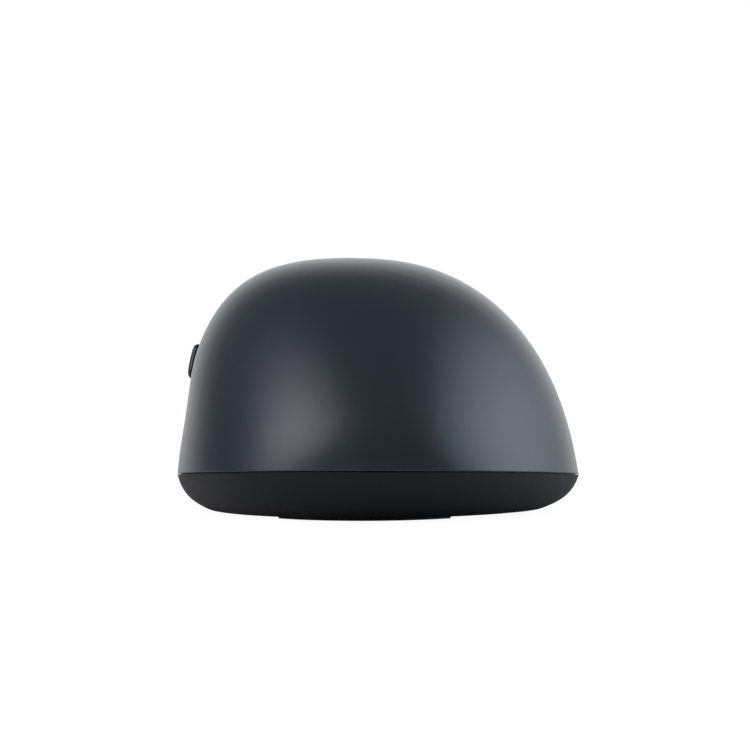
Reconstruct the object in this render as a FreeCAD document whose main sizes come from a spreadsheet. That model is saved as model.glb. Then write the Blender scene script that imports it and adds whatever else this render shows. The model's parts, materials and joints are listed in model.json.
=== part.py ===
import FreeCAD, Part
import math
import os
import Sketcher
from FreeCAD import Placement, Rotation, Vector

# Wireless gaming mouse, right-handed, in millimetres.
# +X is the user's right, +Y is the front with the two main buttons, +Z is up.
# The origin is under the middle of the body, on the plane that the feet stand on.

SIZES = {
    # Body form: length, and heights and half widths at six stations along it
    "body_length": 128.0,
    "palm_station": -42.0,
    "hump_station": -15.0,
    "waist_station": 12.0,
    "knuckle_station": 38.0,
    "crown_rear": 36.5,
    "crown_palm": 41.85,
    "crown_hump": 43.65,
    "crown_waist": 39.7,
    "crown_knuckle": 31.2,
    "crown_nose": 21.5,
    "left_rear": 34.2,
    "left_palm": 34.5,
    "left_hump": 35.05,
    "left_waist": 32.05,
    "left_knuckle": 30.6,
    "left_nose": 31.6,
    "right_rear": 30.9,
    "right_palm": 33.3,
    "right_hump": 34.4,
    "right_waist": 32.45,
    "right_knuckle": 30.0,
    "right_nose": 29.4,
    # Sideways lean of the ridge line, bluntness of the sections and of the plan
    "ridge_rear": -1.5,
    "ridge_palm": -4.2,
    "ridge_hump": -5.2,
    "ridge_waist": -4.6,
    "ridge_knuckle": -2.8,
    "ridge_nose": -1.5,
    "hump_bluntness": 2.76,
    "nose_bluntness": 4.0,
    "bluntness_skew": 0.086,
    "draft_left": 0.087,
    "draft_right": 0.135,
    "rear_fullness": 2.75,
    "nose_squareness": 30.0,
    # Finger grooves on the main buttons and the hollow for the thumb
    "finger_groove_depth": 1.2,
    "finger_groove_width": 9.0,
    "finger_groove_start": 14.0,
    "finger_groove_run": 30.0,
    "thumb_hollow_depth": 1.6,
    "thumb_hollow_y": 12.0,
    "thumb_hollow_z": 17.5,
    "thumb_hollow_length": 30.0,
    "thumb_hollow_height": 6.0,
    # Seam between the shells, and the walls
    "seam_rear": 8.3,
    "seam_front": 2.9,
    "seam_gap": 0.2,
    "base_bottom": 0.6,
    "base_tuck": 0.98,
    "base_tuck_skew": 0.1,
    "top_wall": 1.5,
    "base_floor": 1.6,
    "lip_inset": 0.8,
    "lip_thickness": 0.8,
    "lip_height": 1.1,
    "lip_root": 0.3,
    "lip_clearance": 0.1,
    "lip_break": 27.0,
    # Centre spine, wheel slot and the split line under the main buttons
    "spine_x": -1.0,
    "spine_width_rear": 15.0,
    "spine_width_front": 12.6,
    "button_rear": 12.0,
    "split_rear": 33.5,
    "split_middle": 25.0,
    "split_front": 12.0,
    "button_gap": 0.5,
    "button_gap_front": 1.2,
    "slot_width": 9.4,
    "slot_rear": 26.5,
    "slot_front": 52.0,
    # Main buttons, their hinge and the bridge that carries them
    "finger_spread": 16.3,
    "arm_spread": 11.5,
    "hinge_y": 2.0,
    "hinge_z": 31.0,
    "hinge_pin_diameter": 1.5,
    "hinge_pin_play": 0.1,
    "arm_width": 8.0,
    "arm_thickness": 3.4,
    "arm_reach": 20.0,
    "arm_rib": 1.6,
    "rib_setback": 0.3,
    "ear_thickness": 1.6,
    "ear_gap": 0.2,
    "ear_foot": 3.0,
    "ear_top": 2.2,
    "bridge_z": 26.3,
    "bridge_thickness": 1.6,
    "bridge_rear": -7.0,
    "bridge_front": 5.0,
    "bridge_boss_spread": 4.5,
    "bridge_boss_y": -3.6,
    "bridge_margin": 4.0,
    "spring_thickness": 0.3,
    "spring_width": 3.5,
    "spring_seat": 2.0,
    "spring_reach": 5.6,
    "spring_tip": 1.5,
    "spring_gap": 0.15,
    "button_post_diameter": 4.0,
    "contact_gap": 0.05,
    # Scroll wheel and its click frame
    "wheel_y": 38.0,
    "wheel_z": 22.4,
    "tyre_radius": 12.2,
    "tyre_width": 7.0,
    "tyre_shoulder": 1.1,
    "tyre_crown": 0.3,
    "tyre_bevel": 0.5,
    "tyre_round": 0.9,
    "tyre_bore": 9.6,
    "tyre_grooves": 30,
    "tyre_groove_depth": 0.6,
    "tyre_groove_width": 0.9,
    "hub_web": 1.6,
    "hub_rim": 1.2,
    "hub_inset": 0.4,
    "hub_end_gap": 0.3,
    "hub_boss_diameter": 5.0,
    "encoder_slots": 20,
    "encoder_slot_radius": 7.1,
    "encoder_slot_width": 1.0,
    "encoder_slot_length": 1.8,
    "encoder_gap": 0.6,
    "encoder_depth": 3.4,
    "encoder_width": 4.0,
    "encoder_top": 2.2,
    "encoder_eye": 2.4,
    "encoder_eye_proud": 0.4,
    "axle_diameter": 2.0,
    "axle_play": 0.06,
    "carrier_inner": 9.8,
    "carrier_plate": 1.4,
    "carrier_edge": 2.0,
    "carrier_nose": 2.4,
    "carrier_head": 3.4,
    "carrier_head_top": 2.2,
    "carrier_window": 4.2,
    "pivot_reach": 10.0,
    "pivot_z": 13.0,
    "carrier_bar_y": 26.0,
    "carrier_bar": 2.6,
    "click_tab_y": 31.0,
    "click_tab_width": 6.0,
    "click_tab_thickness": 1.8,
    "click_tab_margin": 0.8,
    "stand_gap": 0.3,
    "stand_width": 1.8,
    "stand_depth": 4.6,
    "stand_top": 2.2,
    "stand_play": 0.3,
    # Main circuit board and what stands on it
    "board_bottom": 6.0,
    "board_thickness": 1.0,
    "board_half_width": 24.0,
    "board_gap": 1.5,
    "board_shoulder_reach": 12.0,
    "board_tongue_half": 16.0,
    "board_front_reach": 6.0,
    "board_corner": 1.2,
    "board_chamfer": 2.0,
    "board_window_width": 8.4,
    "board_window_length": 7.4,
    "board_screw_x": 20.5,
    "board_screw_inset": 4.0,
    "board_screw_front": 30.0,
    "board_boss_diameter": 4.8,
    "switch_y": 44.0,
    "switch_length": 12.8,
    "switch_width": 5.8,
    "switch_height": 6.5,
    "switch_corner": 0.5,
    "plunger_width": 2.8,
    "plunger_depth": 1.4,
    "plunger_play": 0.1,
    "plunger_seat": 2.6,
    "plunger_room": 1.2,
    "plunger_corner": 0.3,
    "plunger_proud": 0.8,
    "tact_size": 6.0,
    "tact_height": 3.8,
    "tact_plunger_diameter": 3.2,
    "tact_plunger_proud": 1.2,
    "tact_hole_depth": 2.3,
    "tact_plunger_seat": 1.0,
    "middle_switch_x": -11.5,
    # Optical sensor in the underside
    "sensor_y": 2.0,
    "sensor_width": 10.9,
    "sensor_length": 16.2,
    "sensor_height": 2.2,
    "sensor_hood": 6.9,
    "sensor_hood_height": 0.6,
    "sensor_corner": 0.6,
    "package_corner": 0.3,
    "processor_x": 11.0,
    "processor_y": 12.0,
    "processor_size": 7.0,
    "processor_height": 0.9,
    "radio_x": 12.0,
    "radio_y": 24.0,
    "radio_width": 10.0,
    "radio_length": 11.0,
    "radio_height": 1.8,
    "aperture_width": 11.0,
    "aperture_length": 8.0,
    "aperture_corner": 1.0,
    "lens_flange": 3.5,
    "lens_thickness": 1.4,
    "lens_play": 0.5,
    "lens_nose": 0.9,
    "lens_dome": 6.4,
    "lens_gap": 0.1,
    # Sensitivity button and status light on the spine
    "dpi_y": 19.0,
    "dpi_width": 4.6,
    "dpi_length": 9.0,
    "dpi_proud": 0.6,
    "dpi_gap": 0.3,
    "dpi_rim": 0.9,
    "dpi_under": 1.0,
    "dpi_stem": 3.0,
    "light_y": 10.0,
    "light_diameter": 2.2,
    "light_play": 0.1,
    "light_collar": 3.8,
    "lamp_height": 0.8,
    "lamp_gap": 0.1,
    "lamp_width": 1.6,
    "lamp_depth": 1.2,
    # Charging socket in the nose
    "usb_z": 6.5,
    "usb_width": 8.94,
    "usb_height": 3.26,
    "usb_length": 7.35,
    "usb_reach": 4.5,
    "usb_wall": 0.3,
    "usb_side_wall": 0.8,
    "usb_back_wall": 0.9,
    "usb_inner_corner": 1.2,
    "usb_corner_flat": 0.05,
    "usb_tongue_width": 6.7,
    "usb_tongue_height": 0.7,
    "usb_tongue_back": 0.9,
    "usb_play": 0.15,
    "cradle_inset": 0.75,
    "usb_recess_width": 13.0,
    "usb_recess_top": 9.9,
    "usb_recess_corner": 2.0,
    "usb_recess_wall": 0.8,
    # Side buttons, following a line that drops towards the front
    "side_rear": -10.0,
    "side_middle": 10.4,
    "side_front": 31.0,
    "side_z_rear": 25.75,
    "side_z_middle": 24.7,
    "side_z_front": 21.6,
    "side_height": 6.0,
    "side_split": 0.6,
    "side_gap": 0.35,
    "side_proud": 1.2,
    "side_corner": 1.4,
    "side_round": 0.8,
    "side_lean": 0.9,
    "side_taper": 0.6,
    "side_inner_gap": 0.3,
    "side_flange": 0.9,
    "side_flange_depth": 0.8,
    "side_post_diameter": 3.0,
    "side_board_x": -19.6,
    "side_board_thickness": 1.0,
    "side_board_rear": -6.0,
    "side_board_front": 28.0,
    "side_board_z": 14.0,
    "side_board_height": 14.0,
    "side_switch_y_back": 1.0,
    "side_switch_z_back": 24.6,
    "side_switch_y_forward": 21.0,
    "side_switch_z_forward": 23.4,
    "bracket_thickness": 1.4,
    "bracket_foot": 5.4,
    "bracket_peg_diameter": 1.8,
    "bracket_peg_inset": 3.2,
    "bracket_peg_rear": 4.0,
    "bracket_peg_front": 22.0,
    "bracket_peg_reach": 0.4,
    "bracket_inset": 2.0,
    "bracket_drop": 3.0,
    "bracket_chamfer": 4.0,
    "ribbon_width": 6.0,
    "ribbon_thickness": 0.3,
    "ribbon_connector_width": 1.9,
    "ribbon_connector_length": 8.0,
    "ribbon_connector_height": 1.2,
    # Battery and its connector
    "battery_reach": 30.0,
    "battery_width": 30.0,
    "battery_length": 32.0,
    "battery_height": 6.0,
    "battery_pad": 0.4,
    "battery_corner": 1.6,
    "battery_pad_inset": 3.0,
    "rail_height": 3.2,
    "rail_thickness": 1.2,
    "rail_gap": 0.3,
    "rail_length": 20.0,
    "rail_shift": 4.0,
    "rail_stop": 12.0,
    "battery_connector_x": 12.0,
    "battery_connector_inset": 3.0,
    "battery_connector_width": 5.0,
    "battery_connector_depth": 3.4,
    "battery_connector_height": 3.0,
    "lead_spread": 1.0,
    "lead_height": 0.9,
    "lead_diameter": 1.2,
    # Power switch under the board and its knob in the underside
    "power_x": -9.0,
    "power_y": 20.0,
    "power_travel": 2.5,
    "power_switch_width": 9.0,
    "power_switch_depth": 3.8,
    "power_switch_height": 2.4,
    "power_slot_depth": 1.4,
    "knob_width": 7.0,
    "knob_depth": 4.4,
    "knob_stem": 2.0,
    "knob_play": 0.2,
    "knob_recess": 1.0,
    "knob_float": 0.15,
    "knob_reach": 0.8,
    "knob_corner": 0.8,
    "knob_groove_width": 0.5,
    "knob_groove_depth": 0.3,
    "knob_groove_spacing": 1.2,
    # Feet
    "foot_thickness": 0.85,
    "foot_recess": 0.25,
    "foot_inset": 12.0,
    "foot_width": 7.0,
    "foot_rear_reach": 24.0,
    "foot_front_reach": 20.0,
    "foot_ring": 3.0,
    "foot_ring_gap": 0.8,
    "foot_corner": 3.0,
    "foot_tip": 2.0,
    "foot_play": 0.1,
    # Fasteners
    "shell_screw_x_rear": 21.0,
    "shell_screw_reach_rear": 28.0,
    "shell_screw_x_front": 22.5,
    "shell_screw_reach_front": 7.5,
    "shell_screw_diameter": 2.2,
    "shell_screw_length": 9.0,
    "shell_screw_head": 4.2,
    "shell_screw_seat": 3.0,
    "shell_screw_head_height": 1.6,
    "shell_screw_recess": 2.4,
    "seat_wall": 1.4,
    "screw_head_play": 0.3,
    "shell_boss_rear": 8.0,
    "shell_boss_front": 5.0,
    "shell_boss_gap": 0.2,
    "board_screw_diameter": 2.0,
    "board_screw_length": 5.0,
    "board_screw_head": 3.8,
    "board_screw_head_height": 1.2,
    "board_screw_recess": 2.0,
    "screw_slot": 0.5,
    "screw_end_play": 0.5,
    "thread_bite": 0.4,
    "screw_play": 0.2,
    "boss_wall": 1.7,
    "post_roof": 1.6,
    "web_reach": 12.0,
}

STATIONS = ("rear", "palm", "hump", "waist", "knuckle", "nose")

# How the base draws in below the seam: powers of the depth, and each one's part of the whole
TUCK_CURVE = ((1, 0.30), (2, 0.28), (4, 0.42))

# Heights and distances that are simply past the whole body, for cutting blocks
SKY = 60.0
BEYOND = 10.0

DOC = FreeCAD.newDocument("Mouse")
SHEET = DOC.addObject("Spreadsheet::Sheet", "Sizes")


class Length:
    """A number from the sheet together with the expression that gives it."""

    def __init__(self, value, text):
        self.value = value
        self.text = text

    def __add__(self, other):
        other = length(other)
        return Length(self.value + other.value, f"({self.text} + {other.text})")

    def __sub__(self, other):
        other = length(other)
        return Length(self.value - other.value, f"({self.text} - {other.text})")

    def __mul__(self, other):
        other = length(other)
        return Length(self.value * other.value, f"({self.text} * {other.text})")

    def __truediv__(self, other):
        other = length(other)
        return Length(self.value / other.value, f"({self.text} / {other.text})")

    def __neg__(self):
        return Length(-self.value, f"(0 - {self.text})")

    def __float__(self):
        return float(self.value)

    __radd__ = __add__
    __rmul__ = __mul__


def length(number):
    """A plain number as a Length."""
    if isinstance(number, Length):
        return number
    return Length(float(number), f"({float(number):g})")


class Sheet:
    """The driving dimensions, each under its own alias in the spreadsheet."""

    def __init__(self, sizes):
        for row, (alias, number) in enumerate(sizes.items(), start=1):
            SHEET.set(f"A{row}", alias)
            SHEET.set(f"B{row}", str(number))
            SHEET.setAlias(f"B{row}", alias)
        DOC.recompute()
        for alias in sizes:
            setattr(self, alias, Length(SHEET.get(alias), "Sizes." + alias))

    def value(self, alias):
        return float(getattr(self, alias))


S = Sheet(SIZES)
SUB_PARTS = []

# Places along the body that follow its ends
NOSE = S.body_length / 2
REAR = -NOSE
BATTERY_Y = REAR + S.battery_reach
BOARD_REAR = BATTERY_Y + S.battery_length / 2 + S.board_gap
BOARD_SHOULDER = NOSE - S.board_shoulder_reach
BOARD_FRONT = NOSE - S.board_front_reach
USB_MOUTH = NOSE - S.usb_reach
PIVOT_Y = NOSE - S.pivot_reach


# Sketches and features

def new_body(label):
    """A solid body whose label is the sub-part's name."""
    body = DOC.addObject("PartDesign::Body", label)
    body.Label = label
    SUB_PARTS.append(body)
    return body


def origin_feature(body, role):
    """One of the body's own origin planes or axes."""
    for feature in body.Origin.OriginFeatures:
        if feature.Role == role:
            return feature
    raise ValueError(role)


def new_sketch(body, plane="XY_Plane", height=0):
    """A sketch on one of the body's origin planes, moved along the plane's normal."""
    height = length(height)
    sketch = body.newObject("Sketcher::SketchObject", body.Label + "_sketch")
    sketch.AttachmentSupport = [(origin_feature(body, plane), "")]
    sketch.MapMode = "FlatFace"
    sketch.AttachmentOffset = Placement(Vector(0, 0, height.value), Rotation())
    sketch.setExpression("AttachmentOffset.Base.z", height.text)
    return sketch


def bind_constraint(sketch, constraint, amount):
    index = sketch.addConstraint(constraint)
    sketch.setExpression(f"Constraints[{index}]", amount.text)


def fix_point(sketch, geometry, position, x, y):
    """Hold a point of the sketch at a place given by the sheet."""
    for kind, place in (("DistanceX", length(x)), ("DistanceY", length(y))):
        bind_constraint(sketch, Sketcher.Constraint(kind, -1, 1, geometry, position, place.value), place)


def draw_polygon(sketch, corners):
    """A closed outline of straight lines through corners given as pairs."""
    corners = [(length(x), length(y)) for x, y in corners]
    points = [Vector(x.value, y.value, 0) for x, y in corners]
    lines = [Part.LineSegment(a, b) for a, b in zip(points, points[1:] + points[:1])]
    first = sketch.addGeometry(lines, False)[0]
    count = len(lines)
    for i in range(count):
        sketch.addConstraint(Sketcher.Constraint("Coincident", first + i, 2, first + (i + 1) % count, 1))
    for i, (x, y) in enumerate(corners):
        fix_point(sketch, first + i, 1, x, y)


def draw_rectangle(sketch, x, y, width, depth):
    """A rectangle about a centre."""
    x, y, width, depth = length(x), length(y), length(width), length(depth)
    left, right = x - width / 2, x + width / 2
    low, high = y - depth / 2, y + depth / 2
    draw_polygon(sketch, [(left, low), (right, low), (right, high), (left, high)])


def draw_circle(sketch, x, y, diameter):
    x, y, diameter = length(x), length(y), length(diameter)
    circle = Part.Circle(Vector(x.value, y.value, 0), Vector(0, 0, 1), diameter.value / 2)
    index = sketch.addGeometry(circle, False)
    fix_point(sketch, index, 3, x, y)
    bind_constraint(sketch, Sketcher.Constraint("Diameter", index, diameter.value), diameter)


def pad(body, sketch, amount, flip=False):
    """Material from a sketch, along the plane's normal unless flipped."""
    amount = length(amount)
    feature = body.newObject("PartDesign::Pad", body.Label + "_pad")
    feature.Profile = sketch
    feature.Length = amount.value
    feature.setExpression("Length", amount.text)
    feature.Reversed = flip
    DOC.recompute()
    return feature


def pocket(body, sketch, amount, flip=False):
    """A cut from a sketch, against the plane's normal unless flipped."""
    amount = length(amount)
    before = body.Shape.Volume
    feature = body.newObject("PartDesign::Pocket", body.Label + "_pocket")
    feature.Profile = sketch
    feature.Length = amount.value
    feature.setExpression("Length", amount.text)
    feature.Reversed = flip
    DOC.recompute()
    if body.Shape.Volume > before - 1e-6:
        raise RuntimeError(feature.Label + " cuts nothing")
    return feature


def revolve(body, sketch, axis="H_Axis"):
    """Material turned about one of the sketch's own axes."""
    feature = body.newObject("PartDesign::Revolution", body.Label + "_turned")
    feature.Profile = sketch
    feature.ReferenceAxis = (sketch, [axis])
    feature.Angle = 360
    DOC.recompute()
    return feature


def repeat_round(body, feature, axis, count):
    """Copies of a feature spaced evenly round one of the body's axes."""
    pattern = body.newObject("PartDesign::PolarPattern", body.Label + "_pattern")
    pattern.Originals = [feature]
    pattern.Axis = (origin_feature(body, axis), [""])
    pattern.Angle = 360
    pattern.Occurrences = int(count.value)
    pattern.setExpression("Occurrences", count.text)
    body.Tip = pattern
    DOC.recompute()


def round_edges(body, radius, choose):
    """A fillet on the edges of the body that the test picks out."""
    radius = length(radius)
    base = body.Tip
    names = [f"Edge{i}" for i, edge in enumerate(base.Shape.Edges, start=1) if choose(edge)]
    feature = body.newObject("PartDesign::Fillet", body.Label + "_fillet")
    feature.Base = (base, names)
    feature.Radius = radius.value
    feature.setExpression("Radius", radius.text)
    DOC.recompute()


def runs_along(edge, axis):
    """Whether an edge is straight and parallel to an axis."""
    if len(edge.Vertexes) != 2:
        return False
    span = edge.Vertexes[1].Point - edge.Vertexes[0].Point
    return abs(span.dot(axis)) > edge.Length * 0.9999


def stands(edge):
    """Whether an edge is straight and upright."""
    return runs_along(edge, Vector(0, 0, 1))


def upright(solid):
    """The straight upright edges of a solid."""
    return [edge for edge in solid.Edges if stands(edge)]


def place(body, x=0, y=0, z=0):
    """Move a body built round its own origin to its place in the mouse."""
    for axis, amount in (("x", length(x)), ("y", length(y)), ("z", length(z))):
        body.setExpression("Placement.Base." + axis, amount.text)
    DOC.recompute()


def add_feature(label, shape):
    """A sub-part whose shape is worked out here from the sheet's sizes."""
    if len(shape.Solids) == 1:
        shape = shape.Solids[0]
    feature = DOC.addObject("Part::Feature", label)
    feature.Label = label
    feature.Shape = shape
    feature.Placement = Placement()
    SUB_PARTS.append(feature)
    return feature


# Body form

def along_body(name):
    """A smooth curve of one size through its value at each station."""
    half_length = float(S.body_length) / 2
    places = [-half_length]
    places += [S.value(station + "_station") for station in STATIONS[1:-1]]
    places.append(half_length)
    amounts = [S.value(f"{name}_{station}") for station in STATIONS]
    curve = Part.BSplineCurve()
    curve.interpolate(Points=[Vector(y, v, 0) for y, v in zip(places, amounts)], Parameters=places)
    return lambda y: curve.value(max(-half_length, min(half_length, y))).y


CROWN = along_body("crown")
LEFT = along_body("left")
RIGHT = along_body("right")
RIDGE = along_body("ridge")


def seam(y):
    """Height of the seam plane, which drops towards the nose."""
    share = y / float(S.body_length) + 0.5
    return float(S.seam_rear) + (float(S.seam_front) - float(S.seam_rear)) * share


def bluntness(y):
    """Exponent of the cross section, rounder over the hump and squarer at the nose."""
    hump = float(S.hump_station)
    share = max(0.0, y - hump) / (float(S.body_length) / 2 - hump)
    return float(S.hump_bluntness) + (float(S.nose_bluntness) - float(S.hump_bluntness)) * share ** 1.5


def smooth_step(share):
    share = max(0.0, min(1.0, share))
    return share * share * (3 - 2 * share)


def bell(offset, width):
    return math.exp(-(offset / width) ** 2)


def finger_groove(x, y):
    """Depth of the two shallow grooves that run forward under the fingers."""
    fade = smooth_step((y - float(S.finger_groove_start)) / float(S.finger_groove_run))
    width = float(S.finger_groove_width)
    centre, spread = float(S.spine_x), float(S.finger_spread)
    across = bell(x - centre - spread, width) + bell(x - centre + spread, width)
    return float(S.finger_groove_depth) * fade * across


def thumb_hollow(y, z):
    """Depth of the hollow in the left wall where the thumb rests."""
    along = bell(y - float(S.thumb_hollow_y), float(S.thumb_hollow_length))
    upwards = bell(z - float(S.thumb_hollow_z), float(S.thumb_hollow_height))
    return float(S.thumb_hollow_depth) * along * upwards


def plan_power(along):
    return float(S.rear_fullness) if along < 0 else float(S.nose_squareness)


def skin_point(across, along, inset):
    """A point of the skin, from its place across (-1 to 1) and along (-1 to 1) the plan."""
    reach = float(S.body_length) / 2 - inset
    radius = math.sqrt(across ** 2 + abs(along) ** plan_power(along))
    power = bluntness(reach * along) * (1 - float(S.bluntness_skew) * max(-1.0, min(1.0, across)))
    if radius >= 1:
        level, rise = 1.0, -(radius - 1) * math.pi / 2
    else:
        turn = math.pi / 2 * radius
        scale = (math.sin(turn) ** power + math.cos(turn) ** power) ** (-1 / power)
        level, rise = math.sin(turn) * scale, math.cos(turn) * scale
    stretch = level / radius if radius > 1e-9 else math.pi / 2
    if along < 0:
        y = reach * along * stretch ** (2 / float(S.rear_fullness) * min(1.0, along ** 2))
    else:
        y = reach * min(1.0, along)
    side = across * stretch
    draft = float(S.draft_left) + (float(S.draft_right) - float(S.draft_left)) / (1 + math.exp(-6 * side))
    side *= 1 - draft * max(rise, -0.3)
    left, right = LEFT(y) - inset, RIGHT(y) - inset
    x = (right - left) / 2 * side ** 2 + RIDGE(y) * (1 - side ** 2) + (right + left) / 2 * side
    z = seam(y) + (CROWN(y) - inset - seam(y)) * rise
    if side < 0:
        x += thumb_hollow(y, z) * min(1.0, side ** 2)
    z -= finger_groove(x, y) * max(0.0, rise) ** 0.5
    return Vector(x, y, z)


def steps(first, last, count):
    """Evenly spaced numbers from the first up to the last."""
    return [first + (last - first) * i / count for i in range(count + 1)]


SKIN_ACROSS = steps(-1.25, 1.25, 30)
SKIN_ALONG = steps(-1.2, 0.8, 22) + steps(0.8, 1.02, 13)[1:]


def under_skin(inset):
    """Everything under the skin, moved inwards by an inset, down to below the seam."""
    surface = Part.BSplineSurface()
    surface.interpolate([[skin_point(p, q, inset) for p in SKIN_ACROSS] for q in SKIN_ALONG])
    lowest = min(float(S.seam_front), float(S.seam_rear)) - 1.0
    far = float(S.body_length)
    box = Part.makeBox(2 * far, 2 * far, SKY - lowest, Vector(-far, -far, lowest))
    pieces, _ = box.generalFuse([surface.toShape()])
    middle = Vector(0, 0, (float(S.crown_hump) + lowest) / 2)
    for piece in pieces.Solids:
        if piece.isInside(middle, 0.01, True):
            return piece
    raise RuntimeError("the skin doesn't close")


def outline_point(across, along, inset):
    """A point of the plan outline at the seam."""
    point = skin_point(across, along, inset)
    return point.x, point.y


def outline_places():
    """Places round the outline: up the right side, across the nose, down the left, round the rear."""
    rear, nose = float(S.rear_fullness), float(S.nose_squareness)
    sides = steps(-0.74, 0.86, 14) + [0.9, 0.93, 0.95]
    right = [((1 - abs(q) ** (rear if q < 0 else nose)) ** 0.5, q) for q in sides]
    left = [(-p, q) for p, q in reversed(right)]
    front = [(p, (1 - p ** 2) ** (1 / nose)) for p in steps(0.8, -0.8, 8)]
    back = [(p, -(1 - p ** 2) ** (1 / rear)) for p in steps(-0.66, 0.66, 8)]
    return right + front + left + back


def ring(inset, height):
    """The outline moved inwards, as a closed curve whose inset and height may depend on the place."""
    points = []
    for across, along in outline_places():
        drop = inset(across, along * float(S.body_length) / 2) if callable(inset) else inset
        x, y = outline_point(across, along, drop)
        points.append(Vector(x, y, height(y) if callable(height) else height))
    curve = Part.BSplineCurve()
    curve.interpolate(Points=points, PeriodicFlag=True)
    return Part.Wire([curve.toShape()])


def prism(wire, low, high):
    """A straight block over a level outline, between two heights."""
    face = Part.Face(wire)
    face.translate(Vector(0, 0, low - face.BoundBox.ZMin))
    return face.extrude(Vector(0, 0, high - low))


def tuck(across, y, z):
    """How far the base has drawn in at a height: nothing at the seam, most at the bottom and on the right."""
    height = seam(y) - float(S.base_bottom)
    share = max(0.0, seam(y) - z) / height
    most = height * float(S.base_tuck) * (1 + float(S.base_tuck_skew) * across)
    return most * sum(part * share ** power for power, part in TUCK_CURVE)


def base_form(inset, low, shares):
    """A tub that draws in on the way down, with a ring at each share of the way to its lowest level."""
    def level(y, share):
        return seam(y) - (seam(y) - low) * share

    rings = []
    for share in shares:
        rings.append(ring(
            lambda across, y: inset + tuck(across, y, level(y, share)), lambda y: level(y, share)))
    return Part.makeLoft(rings, True, False)


def seam_block(low, high):
    """A slab over the whole plan between two levels that are measured from the seam plane."""
    far = float(S.body_length)
    rear, front = seam(-far), seam(far)
    corners = [(-far, rear + low), (far, front + low), (far, front + high), (-far, rear + high)]
    return side_prism(corners, -far, far)


def side_prism(points, left, right):
    """A block with an outline in the side view, given as pairs of y and z."""
    corners = [Vector(left, y, z) for y, z in points]
    face = Part.Face(Part.makePolygon(corners + corners[:1]))
    return face.extrude(Vector(right - left, 0, 0))


def post(x, y, diameter, low, high):
    return Part.makeCylinder(float(diameter) / 2, high - low, Vector(float(x), float(y), low))


def cross_rod(diameter, left, span, y, z):
    """A rod that lies across the mouse, from a place at its left end."""
    start = Vector(float(left), float(y), float(z))
    return Part.makeCylinder(float(diameter) / 2, float(span), start, Vector(1, 0, 0))


def block(x, y, width, depth, low, high):
    """An upright block about a centre."""
    corner = Vector(float(x) - float(width) / 2, float(y) - float(depth) / 2, low)
    return Part.makeBox(float(width), float(depth), high - low, corner)


def slot_prism(x, rear, front, width, low, high):
    """An upright block with half-round ends, from the rear to the front."""
    radius = float(width) / 2
    shape = block(x, (rear + front) / 2, width, front - rear - 2 * radius, low, high)
    ends = [post(x, end, width, low, high) for end in (rear + radius, front - radius)]
    return shape.fuse(ends).removeSplitter()


# Shells

def button_zone(gap_rear, gap_front, left, right):
    """The room in front of the palm and above the split line, raised by a gap that grows forwards."""
    rear, nose = float(S.button_rear), float(S.body_length) / 2
    middle = (rear + nose) / 2
    rear_z = float(S.split_rear) + gap_rear
    middle_z = float(S.split_middle) + (gap_rear + gap_front) / 2
    nose_z = float(S.split_front) + gap_front
    curve = Part.BSplineCurve()
    places = [(rear, rear_z), (middle, middle_z), (nose, nose_z)]
    curve.interpolate(Points=[Vector(left, y, z) for y, z in places])
    beyond = nose + BEYOND
    beyond_z = nose_z + (nose_z - middle_z) / (nose - middle) * BEYOND
    corners = [
        Vector(left, nose, nose_z), Vector(left, beyond, beyond_z), Vector(left, beyond, SKY),
        Vector(left, rear, SKY), Vector(left, rear, rear_z),
    ]
    lines = [Part.LineSegment(a, b).toShape() for a, b in zip(corners, corners[1:])]
    zone = Part.Face(Part.Wire([curve.toShape()] + lines)).extrude(Vector(right - left, 0, 0))
    start = rear + gap_rear
    return zone.common(Part.makeBox(right - left, beyond - start, SKY, Vector(left, start, 0)))


def spine_block(gap):
    """The upright wedge between the main buttons, wider at the rear."""
    rear, nose = float(S.button_rear), float(S.body_length) / 2 + BEYOND
    x = float(S.spine_x)
    back, front = float(S.spine_width_rear) / 2 + gap, float(S.spine_width_front) / 2 + gap
    corners = [(x - back, rear), (x + back, rear), (x + front, nose), (x - front, nose)]
    points = [Vector(a, b, 0) for a, b in corners]
    return Part.Face(Part.makePolygon(points + points[:1])).extrude(Vector(0, 0, SKY))


def side_button_outline(end, grown):
    """The slanted rounded outline of one side button or of both, grown outwards by an amount."""
    half, split = float(S.side_height) / 2, float(S.side_split) / 2
    rear, middle, front = float(S.side_rear), float(S.side_middle), float(S.side_front)
    rear_z, middle_z, front_z = float(S.side_z_rear), float(S.side_z_middle), float(S.side_z_front)
    lean, low_half = float(S.side_lean), half - float(S.side_taper)
    rear_end = [(rear + lean, rear_z + half), (rear, rear_z - half)]
    front_end = [(front - lean, front_z - low_half), (front, front_z + low_half)]
    if end == "back":
        corners = rear_end + [(middle - split, middle_z - half), (middle - split, middle_z + half)]
    elif end == "forward":
        corners = [(middle + split, middle_z + half), (middle + split, middle_z - half)] + front_end
    else:
        corners = rear_end + [(middle, middle_z - half)] + front_end + [(middle, middle_z + half)]
    solid = side_prism(corners, -SKY, 0)
    edges = [edge for edge in solid.Edges if runs_along(edge, Vector(1, 0, 0))]
    if end == "both":
        edges = [edge for edge in edges if abs(edge.CenterOfMass.y - middle) > half]
    solid = solid.makeFillet(float(S.side_corner), edges)
    wire = min(solid.Faces, key=lambda face: face.CenterOfMass.x).OuterWire
    if grown:
        wire = wire.makeOffset2D(grown)
    return wire


def side_button_prism(end, grown):
    """The room of the side buttons, from outside the wall in to their board."""
    face = Part.Face(side_button_outline(end, grown))
    return face.extrude(Vector(float(S.side_board_x) - face.BoundBox.XMin, 0, 0))


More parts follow.
